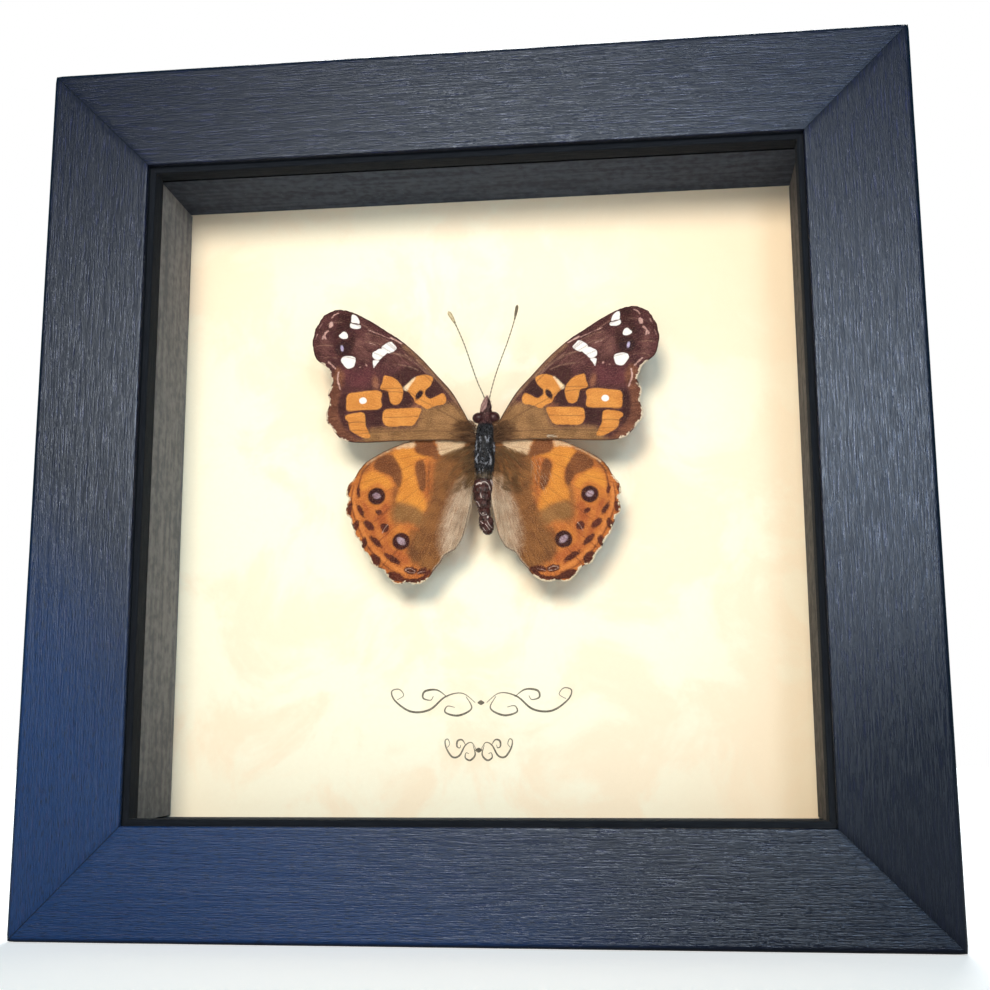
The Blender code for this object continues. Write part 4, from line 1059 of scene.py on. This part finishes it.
THORAX_GLINTS = [
    ("stroke", [(0.4, 0.1), (0.75, -0.6), (1.0, 0.3)], 0.24),
    ("stroke", [(-0.5, 0.2), (-0.4, -0.6)], 0.2), ("stroke", [(-1.05, -0.4), (-1.15, -1.9)], 0.2),
    ("stroke", [(1.62, -0.8), (1.7, -2.0)], 0.16),
    ("stroke", [(-0.75, -2.8), (-1.15, -3.4), (-0.8, -4.1)], 0.26),
    ("stroke", [(1.0, -2.8), (1.3, -3.5), (1.1, -4.4)], 0.24),
    ("stroke", [(-0.3, -4.0), (0.3, -4.4), (0.9, -4.1)], 0.2),
    ("stroke", [(-0.4, -3.3), (0.2, -3.6)], 0.16), ("stroke", [(0.6, -1.6), (0.8, -2.4)], 0.12),
    ("stroke", [(-0.3, -1.0), (-0.5, -2.2)], 0.1), ("stroke", [(-0.6, -4.8), (-0.5, -5.8)], 0.1),
    ("stroke", [(0.0, -4.8), (0.0, -5.6)], 0.1),
]


def body_surface(v, angle):
    """Points of the body at places along it and angles round it."""
    stations = np.array(BODY_STATIONS)
    line = curve_through(stations, 6, closed=False)
    wide, tall, bend = (np.interp(v, line[:, 0], line[:, k]) for k in (1, 2, 3))
    phase = (v / ABDOMEN_RINGS) % 1.0
    crease = SEGMENT_CREASE * np.exp(-((phase - 0.5) / 0.13) ** 2) * (v < ABDOMEN_FRONT)
    lumps = 0.05 * lattice_noise(v * 2.2, angle * 2.0 + 9.0, SEED + 31)
    across = bend + (wide - crease + lumps) * np.cos(angle)
    rise = BODY_RISE + (tall - crease + lumps) * np.sin(angle)
    return across, rise


def body_material():
    """Blue-black thorax, glossy red-black ringed abdomen with a few painted pale glints, maroon head."""
    p = Paint("insect_body", roughness=0.3, specular_ior_level=0.3)
    flat = p.field("flat", "Vector")
    down = p.noise(p.place((3.2, 1.6, 3.2), flat), detail=4.0, roughness=0.7)
    patches = p.noise(p.place(0.8, flat), detail=2.0)
    abdomen = p.mix(p.step(down, 0.35, 0.7), lit(28, 11, 11), lit(72, 36, 30))
    abdomen = p.mix(p.step(patches, 0.45, 0.65, 0.0, 0.6), abdomen, lit(80, 32, 28))
    abdomen = p.mix(p.step(p.field("ring"), 0.4, 0.9, 0.0, 0.2), abdomen, lit(110, 84, 72))
    thorax = p.mix(p.step(down, 0.4, 0.7), lit(6, 7, 10), lit(26, 28, 36))
    head = p.mix(p.step(down, 0.4, 0.7), lit(60, 28, 30), lit(126, 76, 74))
    waist = p.mix(p.step(down, 0.4, 0.7), lit(48, 40, 26), lit(92, 76, 54))
    tint = p.mix(p.step(p.field("along"), -7.2, -6.6), abdomen, waist)
    tint = p.mix(p.step(p.field("along"), -6.0, -5.0), tint, thorax)
    tint = p.mix(p.step(p.field("along"), 2.2, 3.0), tint, head)
    # Painted highlights where the abdomen glints.
    tint = p.mix(p.step(p.field("glint"), -0.05, 0.07, 0.0, 0.9), tint, lit(212, 198, 190))
    return p.finish(tint, p.step(down, 0.3, 0.7, 0.2, 0.4), p.bump(down, 0.14, 0.9))


def build_body():
    """Head, thorax and ringed abdomen."""
    v = np.linspace(BODY_STATIONS[0][0], BODY_STATIONS[-1][0], BODY_ROWS)[:, None]
    angle = (np.arange(BODY_SIDES) * math.tau / BODY_SIDES)[None, :]
    v, angle = np.broadcast_arrays(v, angle)
    across, rise = body_surface(v, angle)
    points = on_card(across, rise, v).reshape(-1, 3)
    thing = add_mesh("painted_lady_body", points, tube_faces(BODY_ROWS, BODY_SIDES), [body_material()])
    phase = (v / ABDOMEN_RINGS) % 1.0
    ring = np.exp(-((phase - 0.72) / 0.1) ** 2) * (v < RINGS_FRONT)
    spots = np.column_stack([across.ravel(), v.ravel()])
    glint = np.where(rise.ravel() > BODY_RISE, marks_cover(spots, ABDOMEN_GLINTS), -1.0)
    add_field(thing, "along", v.ravel())
    add_field(thing, "ring", ring.ravel())
    add_field(thing, "glint", glint)
    add_field(thing, "flat", np.stack([across.ravel(), v.ravel(), rise.ravel()], 1))
    finish_piece(thing, "insect_body", "butterfly_body")


def ball(centre, radii, rows, sides):
    """Points and faces of an ellipsoid in the butterfly's frame."""
    points = []
    for row in range(rows + 1):
        polar = math.pi * (0.02 + 0.96 * row / rows)
        for i in range(sides):
            turn = math.tau * i / sides
            points.append((centre[0] + radii[0] * math.sin(polar) * math.cos(turn),
                           centre[1] + radii[1] * math.sin(polar) * math.sin(turn),
                           centre[2] + radii[2] * math.cos(polar)))
    return np.array(points), tube_faces(rows + 1, sides)


def eye_material():
    """Dark brown compound eye with a fine facet pattern and a soft shine."""
    p = Paint("compound_eye", roughness=0.3, specular_ior_level=0.3)
    cells = p.cells(14.0)
    tint = p.mix(p.step(cells, 0.1, 0.6), lit(84, 40, 38), lit(44, 18, 20))
    return p.finish(tint, normal=p.bump(cells, 0.02, 0.5))


# Each eye: side, middle (u, v) and its radii across and along
EYES = (("left", -0.98, 3.65, 1.12, 0.95), ("right", 1.5, 3.7, 1.1, 1.05))


def build_eyes():
    for name, u, v, wide, long in EYES:
        points, faces = ball((u, v, 4.0), (wide, long, 1.1), 26, 32)
        eye = add_mesh("compound_eye_" + name, on_card(points[:, 0], points[:, 2], points[:, 1]), faces,
                       [eye_material()])
        finish_piece(eye, "insect_body")


ANTENNAE = {
    "left": (-1.0, [(-0.2, 5.4), (0.1, 7.2), (1.25, 9.8), (2.4, 13.0), (3.6, 16.4), (5.0, 19.6), (5.8, 21.1),
                    (6.45, 22.2)], colour(196, 178, 140), 1.45),
    "right": (1.0, [(0.7, 5.4), (0.86, 7.1), (1.55, 10.0), (2.5, 13.0), (3.8, 16.6), (4.8, 19.8),
                    (5.2, 21.6), (5.45, 23.1)], colour(96, 84, 62), 1.15),
}
ANTENNA_SIDES = 12
ANTENNA_RADIUS = 0.1
CLUB_RADIUS = 0.3
ANTENNA_RISE = 4.4
ANTENNA_LIFT = 0.05


def antenna_material(name, club_tint):
    """A ringed grey-brown stalk with a club of its own colour, mottled with brown."""
    p = Paint(name, roughness=0.55)
    along = p.field("along")
    rings = p.math("SINE", p.times(along, 9.0))
    stalk = p.mix(p.step(rings, -0.3, 0.6), colour(92, 84, 62), colour(168, 162, 138))
    stain = p.noise(p.place(4.0))
    club = p.mix(p.step(stain, 0.4, 0.7, 0.0, 0.5), club_tint, colour(120, 100, 72))
    tint = p.mix(p.step(p.field("club"), 0.25, 0.7), stalk, club)
    return p.finish(tint, normal=p.bump(rings, 0.02, 0.6))


def build_antennae():
    for name, (side, route, tint, club_width) in ANTENNAE.items():
        line = drawn(route)
        travel = travelled(line)
        left = travel[-1] - travel
        club = smooth(3.2, 1.0, left) * np.sqrt(np.clip(left / 0.35 + 0.15, 0.0, 1.0))
        radius = ANTENNA_RADIUS + (CLUB_RADIUS * club_width / 1.3 - ANTENNA_RADIUS) * club
        radius = np.where(left < 0.4, radius * np.sqrt(np.clip(left / 0.4, 0.06, 1.0)), radius)
        step = unit(np.gradient(line, axis=0))
        height = ANTENNA_RISE + ANTENNA_LIFT * (line[:, 1] - line[0, 1])
        angle = np.arange(ANTENNA_SIDES) * math.tau / ANTENNA_SIDES
        rings = []
        for spot, way, rise, size in zip(line, step, height, radius):
            u = side * (spot[0] - way[1] * size * np.cos(angle))
            v = spot[1] + way[0] * size * np.cos(angle)
            rings.append(on_card(u, rise + size * np.sin(angle), v))
        thing = add_mesh("painted_lady_antenna_" + name, np.vstack(rings),
                         tube_faces(len(line), ANTENNA_SIDES), [antenna_material("antenna_" + name, tint)])
        add_field(thing, "along", np.repeat(travel, ANTENNA_SIDES))
        add_field(thing, "club", np.repeat(club, ANTENNA_SIDES))
        finish_piece(thing, "insect_body", "antenna_" + name)


PALP_RISE = 4.2
PALP_ROWS = 26
PALP_SIDES = 20
PALP_HAIRS = 240
HAIR_POINTS = 10        # three rings of three points and a tip
HAIR_TRIES = 6          # places drawn for each hair that is wanted


def hair_mesh(name, roots, ways, lengths, widths, mat, shades, curl=0.25):
    """Fine tapering hairs as closed three-sided spikes with one bend each."""
    count = len(roots)
    rng = np.random.default_rng(SEED + len(name))
    ways = unit(ways)
    side = unit(np.cross(ways, rng.normal(size=(count, 3))))
    over = np.cross(ways, side)
    droop = side * (curl * lengths)[:, None]
    points, faces = [], []
    for share, thick in ((0.0, 1.0), (0.35, 0.9), (0.7, 0.6)):
        middle = roots + ways * (lengths * share)[:, None] + droop * share ** 2
        for turn in (0.0, math.tau / 3.0, 2.0 * math.tau / 3.0):
            offset = side * math.cos(turn) + over * math.sin(turn)
            points.append(middle + offset * (0.5 * widths * thick)[:, None])
    points.append(roots + ways * lengths[:, None] + droop)
    points = np.stack(points, 1).reshape(-1, 3)
    pattern = [(2, 1, 0)]
    for row in (0, 3):
        pattern += [(row + i, row + (i + 1) % 3, row + 3 + (i + 1) % 3, row + 3 + i) for i in range(3)]
    pattern += [(6 + i, 6 + (i + 1) % 3, 9) for i in range(3)]
    for k in range(count):
        faces += [tuple(HAIR_POINTS * k + i for i in face) for face in pattern]
    thing = add_mesh(name, points, faces, [mat])
    add_field(thing, "shade", np.repeat(shades, HAIR_POINTS))
    return thing


def hair_material(name, dark, light):
    p = Paint(name, roughness=0.55, specular_ior_level=0.06)
    mottle = p.noise(p.place(2.0), detail=2.0)
    share = p.sum(p.field("shade"), p.times(p.less(mottle, 0.5), 0.5), clamp=True)
    return p.finish(p.mix(share, dark, light))


def body_hair(name, rng, count, v_range, angles, length, width, pale, mat):
    """Hairs that lie back along the body; pale gives the share of light ones at each place."""
    v = rng.uniform(*v_range, count)
    angle = np.radians(rng.uniform(*angles, count))
    across, rise = body_surface(v, angle)
    out = np.stack([np.cos(angle), np.sin(angle), np.zeros(count)], 1)
    lie = np.stack([rng.normal(*spread, count) for spread in ((0.0, 0.25), (0.0, 0.1), (-1.0, 0.2))], 1)
    way = out * 0.35 + lie
    roots = on_card(across, rise, v)
    tips = on_card(across + way[:, 0], rise + way[:, 1], v + way[:, 2])
    lengths = length * rng.uniform(0.6, 1.3, count)
    shades = np.clip(pale(across, v) + rng.normal(0.0, 0.08, count), 0.0, 1.0)
    thing = hair_mesh(name, roots, tips - roots, lengths, np.full(count, width), mat, shades)
    finish_piece(thing, "insect_body")


def paler_in(marks, base, gain):
    """A function for the share of pale hairs at each place: few, but many in the given marks."""
    def pale(across, v):
        return base + gain * smooth(-0.06, 0.06, marks_cover(np.column_stack([across, v]), marks))

    return pale


def wing_hair(name, rng, side, outline, count, length, width, way, pale, mat, rise):
    """Hairs that lie on the root of a wing and fan out from the body."""
    low, high = np.min(outline, 0), np.max(outline, 0)
    spots = rng.uniform(low, high, (count * HAIR_TRIES, 2))
    spots = spots[area_cover(spots, np.array(outline)) > 0.0]
    near = (spots[:, 0] - low[0]) / (high[0] - low[0])
    spots = spots[rng.uniform(0.0, 1.0, len(spots)) < (1.0 - near) ** 1.3][:count]
    n = len(spots)
    clump = lattice_noise(spots[:, 0] * 1.6, spots[:, 1] * 1.6, SEED + len(name))
    way = np.array(way) + rng.normal(0.0, 0.2, (n, 2)) + 0.35 * np.stack([clump, -clump], 1)
    way += 0.12 * (spots - low) * (1.0, -0.4)
    way = unit(way)
    height = rise + 0.12 + WING_LIFT * spots[:, 0]
    roots = on_card(side * spots[:, 0], height, spots[:, 1])
    lift = rng.uniform(0.02, 0.3, n)
    tips = on_card(side * (spots[:, 0] + way[:, 0]), height + lift, spots[:, 1] + way[:, 1])
    lengths = length * rng.uniform(0.4, 1.3, n)
    shades = np.clip(pale + 0.35 * clump + rng.normal(0.0, 0.2, n), 0.0, 1.0)
    thing = hair_mesh(name, roots, tips - roots, lengths, np.full(n, width), mat, shades, curl=0.15)
    finish_piece(thing, "insect_body")


def palp_surface(base, tip, size, t, angle, skin=0.0):
    """Across, rise and along for shares t of a palp's length and angles round it."""
    girth = size * np.sin(math.pi * np.clip(0.3 + 0.69 * t, 0.0, 1.0)) ** 0.8 + skin
    across = base[0] + (tip[0] - base[0]) * t + girth * np.cos(angle)
    rise = PALP_RISE + 0.4 * t + girth * np.sin(angle)
    return across, rise, base[1] + (tip[1] - base[1]) * t + 0.0 * angle


def palp(name, base, tip, size, pale, mat):
    """One labial palp: a furry cone that points forward from the head, paler along its ridge."""
    t = np.linspace(0.0, 1.0, PALP_ROWS)[:, None]
    angle = (np.arange(PALP_SIDES) * math.tau / PALP_SIDES)[None, :]
    points = on_card(*palp_surface(base, tip, size, t, angle, 0.02)).reshape(-1, 3)
    thing = add_mesh(name, points, tube_faces(PALP_ROWS, PALP_SIDES), [mat])
    ridge = pale * (0.4 + 0.6 * np.sin(3.0 * angle + 4.0 * t) ** 2)
    add_field(thing, "shade", ridge.ravel())
    finish_piece(thing, "insect_body")


def palp_hair(name, rng, base, tip, size, pale, mat):
    """Hairs that lie forward along a palp."""
    count = PALP_HAIRS
    t = rng.uniform(0.0, 0.9, count)
    angle = rng.uniform(0.0, math.tau, count)
    across, rise, along = palp_surface(base, tip, size, t, angle)
    roots = on_card(across, rise, along)
    lean = (tip[0] - base[0]) / (tip[1] - base[1])
    tips = on_card(across + lean + 0.15 * np.cos(angle), rise + 0.15 * np.sin(angle), along + 1.0)
    shades = np.clip(pale + rng.normal(0.0, 0.25, count), 0.0, 1.0)
    thing = hair_mesh(name, roots, tips - roots, 0.55 * rng.uniform(0.6, 1.2, count), np.full(count, 0.05),
                      mat, shades)
    finish_piece(thing, "insect_body")


# Areas of hair on a wing
FORE_ROOT = [(1.2, 2.6), (2.4, 3.2), (3.6, 3.0), (5.0, 2.4), (5.6, 1.0), (5.2, -0.6), (1.2, -0.6)]
HIND_ROOT = [(1.2, -1.0), (3.0, -0.8), (6.2, -2.0), (7.6, -4.0), (7.4, -7.0), (5.6, -9.0), (3.4, -8.4),
             (1.4, -7.6)]
FOLD_AREA = [(1.7, -7.0), (3.8, -7.4), (5.4, -11.0), (6.4, -15.0), (6.8, -18.6), (5.2, -18.6),
             (3.7, -17.0), (2.8, -14.0), (2.1, -10.6)]
INNER_MARGIN = [(1.9, -9.0), (2.2, -11.0), (2.7, -13.4), (3.3, -15.6), (4.1, -17.4), (5.2, -18.7),
                (6.4, -19.4), (7.3, -20.8), (7.0, -20.9), (6.2, -19.7), (4.8, -19.0), (3.6, -17.5),
                (2.9, -15.6), (2.35, -13.2), (1.9, -10.9)]
UPPER_SIDE = [(1.0, 2.4), (3.4, 1.8), (3.2, -0.6), (1.0, -0.6)]
LOWER_SIDE = [(1.0, -0.6), (3.0, -0.8), (3.4, -3.0), (3.0, -5.4), (1.2, -5.6)]
TUFT = [(10.4, 0.5), (12.6, 0.25), (12.4, -0.1), (10.6, 0.15)]
STRAY = [(7.4, -1.4), (10.2, -1.6), (11.4, -4.0), (10.6, -7.6), (8.6, -7.4), (7.8, -4.4)]
# Dark and pale end of each kind of hair
HAIR_TINTS = {
    "thorax": (lit(12, 13, 18), lit(206, 212, 222)),
    "abdomen": (lit(40, 18, 15), lit(216, 198, 190)),
    "wing_root": (lit(80, 48, 34), lit(170, 130, 92)),
    "hindwing_root": (lit(88, 60, 36), lit(172, 136, 92)),
    "fold": (lit(138, 112, 86), lit(236, 220, 192)),
    "head": (lit(40, 20, 22), lit(184, 146, 138)),
    "thorax_side": (lit(48, 32, 26), lit(128, 98, 70)),
}
# Hair along the body: kind, count, ends, angles round the body, length, width and share of pale hairs
BODY_GROWTHS = (
    ("thorax", 2600, (-5.9, 2.6), (5, 175), 0.42, 0.045, paler_in(THORAX_GLINTS, 0.04, 0.9)),
    ("abdomen", 900, (-16.0, -5.2), (0, 180), 0.35, 0.03, paler_in(ABDOMEN_GLINTS, 0.08, 0.7)),
    ("head", 900, (2.5, 5.2), (5, 175), 0.4, 0.04, paler_in([], 0.15, 0.0)),
)
# Each palp: side, base, tip, girth and share of pale hairs
PALPS = (("left", (-0.3, 4.6), (0.47, 7.4), 0.6, 0.85), ("right", (0.75, 4.5), (0.55, 7.0), 0.45, 0.1))
# Hair on the wings: name, height of the wing, kind, area, count, length, width, way and share of pale hairs
WING_GROWTHS = (
    ("forewing_root_hairs_", FOREWING_RISE, "wing_root", FORE_ROOT, 700, 1.5, 0.04, (1.0, 0.1), 0.3),
    ("hindwing_root_hairs_", HINDWING_RISE, "hindwing_root", HIND_ROOT, 1500, 1.7, 0.04, (0.8, -0.75), 0.4),
    ("fold_hairs_", HINDWING_RISE, "fold", FOLD_AREA, 500, 1.5, 0.022, (0.15, -1.0), 0.5),
    ("margin_hairs_", HINDWING_RISE, "fold", INNER_MARGIN, 500, 0.7, 0.035, (-0.25, -1.0), 0.8),
)
SIDE_GROWTHS = (
    ("upper_side_hairs_", FOREWING_RISE, "thorax_side", UPPER_SIDE, 260, 1.6, 0.035, (1.0, 0.25), 0.25),
    ("lower_side_hairs_", HINDWING_RISE, "thorax_side", LOWER_SIDE, 420, 1.6, 0.035, (1.0, -0.35), 0.25),
)
STRAY_GROWTHS = (
    ("stray_tuft_", FOREWING_RISE, "fold", TUFT, 22, 0.9, 0.06, (1.0, -0.3), 0.9),
    ("stray_hairs_", HINDWING_RISE, "fold", STRAY, 34, 2.6, 0.045, (0.25, -1.0), 0.45),
)


def build_hair():
    """All the hair, body first; the order matters, since the growths share one source of random numbers."""
    rng = np.random.default_rng(SEED + 50)
    mats = {kind: hair_material(kind + "_hair", *tints) for kind, tints in HAIR_TINTS.items()}
    for kind, *look in BODY_GROWTHS:
        body_hair(kind + "_hairs", rng, *look, mats[kind])
    for name, *look in PALPS:
        palp("palp_" + name, *look, mats["head"])
        palp_hair("palp_hairs_" + name, rng, *look, mats["head"])
    for growths, sides in ((WING_GROWTHS, SIDES), (SIDE_GROWTHS, SIDES), (STRAY_GROWTHS, SIDES[1:])):
        for name, side in sides:
            for growth, rise, kind, *look in growths:
                wing_hair(growth + name, rng, side, *look, mats[kind], rise)


# ---------------------------------------------------------------- carried-over CAD pieces
def dress_cad():
    """Give the CAD pieces that stay as they are their finishes."""
    # One paint in four copies, painted lighter or darker for the light each wall gets: the left lightest,
    # the right between, the top and bottom darkest.
    strips = {
        "top": painted_strip("painted_strip_top", colour(46, 51, 62), colour(66, 72, 84)),
        "bottom": painted_strip("painted_strip_bottom", colour(46, 51, 62), colour(66, 72, 84)),
        "left": painted_strip("painted_strip_left", colour(104, 104, 107), colour(134, 132, 132)),
        "right": painted_strip("painted_strip_right", colour(72, 70, 70), colour(104, 99, 97)),
    }
    steel = sheet_metal("zinc_steel", colour(190, 192, 196), colour(140, 142, 148))
    finishes = {
        "glass": clear_glass(), "backing_card": parchment(), "back_panel": hardboard(),
        "sawtooth_hanger": sheet_metal("plated_brass", colour(216, 184, 110), colour(160, 126, 70)),
        "mounting_pad": foam(),
    }
    finishes.update({"spacer_" + side: strip for side, strip in strips.items()})
    for side, _ in SIDES:
        finishes["hanger_nail_" + side] = steel
        finishes.update({"point_" + side + level: steel for level in ("_upper", "_lower")})
    for node, mat in finishes.items():
        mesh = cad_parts[node].data
        mesh.materials.clear()
        mesh.materials.append(mat)


# ---------------------------------------------------------------- studio
CAMERA_SIDE = 0.1905        # camera places as shares of the frame's side
CAMERA_DROP = 0.2793
CAMERA_AWAY = 1.4093
CAMERA_YAW = math.radians(6.47)
CAMERA_PITCH = math.radians(10.11)
CAMERA_ROLL = math.radians(-0.28)
CAMERA_LENS = 48.11
ROOM_TINT = (0.1, 0.64, 1.0)
ROOM_STRENGTH = 0.22        # the room as seen by anything but the camera
FLOOR_REACH = 900.0
FLOOR_GLOW = 0.4            # light added to the floor for the camera only, so that it looks white
FLOOR_DIMMING = 0.7         # share by which its reflection in the frame is dimmed
MIDDLE = (0.0, 0.0, HALF * MM)
# Each lamp: name, place, target, size, power and tint, in metres and watts
LAMPS = (("key", (-0.04, -0.62, 0.225), MIDDLE, 0.21, 3.68, (1.0, 0.885, 0.735)),
         ("window", (0.15, -0.50, 0.17), MIDDLE, 0.12, 0.65, (0.7, 0.84, 1.0)),
         ("floor_light", (0.0, 0.9, 1.1), (0.0, 0.4, 0.0), 0.8, 24.0, (1.0, 1.0, 1.0)))


def build_camera():
    data = bpy.data.cameras.new("camera")
    data.lens = CAMERA_LENS
    data.sensor_width = 36.0
    data.clip_start = 0.005
    camera = bpy.data.objects.new("camera", data)
    spot = Vector((CAMERA_SIDE * SIDE, FRONT_Y - CAMERA_AWAY * SIDE, HALF - CAMERA_DROP * SIDE)) * MM
    turn = (Matrix.Rotation(CAMERA_YAW, 4, "Z") @ Matrix.Rotation(math.pi / 2.0 + CAMERA_PITCH, 4, "X")
            @ Matrix.Rotation(CAMERA_ROLL, 4, "Z"))
    camera.matrix_world = Matrix.Translation(spot) @ turn
    bpy.context.scene.collection.objects.link(camera)
    bpy.context.scene.camera = camera


def area_light(name, place, target, size, power, tint):
    data = bpy.data.lights.new(name, "AREA")
    data.shape = "DISK"
    data.size = size
    data.energy = power
    data.color = tint
    light = bpy.data.objects.new(name, data)
    light.location = place
    light.rotation_euler = (Vector(target) - Vector(place)).to_track_quat("-Z", "Y").to_euler()
    bpy.context.scene.collection.objects.link(light)


def build_studio():
    """A white sweep of floor, soft lights in front and above, and dim surroundings behind the camera."""
    scene = bpy.context.scene
    scene.view_settings.view_transform = "Standard"
    world = bpy.data.worlds.new("studio")
    world.use_nodes = True
    nodes, links = world.node_tree.nodes, world.node_tree.links
    seen = nodes.new("ShaderNodeLightPath").outputs["Is Camera Ray"]
    share = nodes.new("ShaderNodeMix")
    share.data_type = "RGBA"
    share.inputs[6].default_value = (*(ROOM_STRENGTH * c for c in ROOM_TINT), 1.0)
    share.inputs[7].default_value = (1.0, 1.0, 1.0, 1.0)
    links.new(seen, share.inputs[0])
    links.new(share.outputs[2], nodes["Background"].inputs["Color"])
    scene.world = world
    p = Paint("studio_floor", roughness=0.9)
    speck = p.noise(p.place(0.02), detail=2.0)
    pale = p.mix(speck, (0.86, 0.86, 0.86), (0.9, 0.9, 0.9))
    ray = p.node("LightPath")
    mirrored = p.times(ray.outputs["Is Glossy Ray"], FLOOR_DIMMING)
    mat = p.finish(p.mix(mirrored, pale, (0.2, 0.2, 0.2)))
    p.shader.inputs["Emission Color"].default_value = (1.0, 1.0, 1.0, 1.0)
    p.give(p.shader.inputs["Emission Strength"], p.times(ray.outputs["Is Camera Ray"], FLOOR_GLOW))
    points = [(x * FLOOR_REACH, y * FLOOR_REACH, 0) for x, y in ((-1, -1), (1, -1), (1, 1), (-1, 1))]
    floor = add_mesh("studio_floor", points, [(0, 1, 2, 3)], [mat], shade_smooth=False)
    for lamp in LAMPS:
        area_light(*lamp)


build_camera()
build_studio()
dress_cad()
build_rails()
build_ornament()
build_wings()
build_body()
build_eyes()
build_antennae()
build_hair()
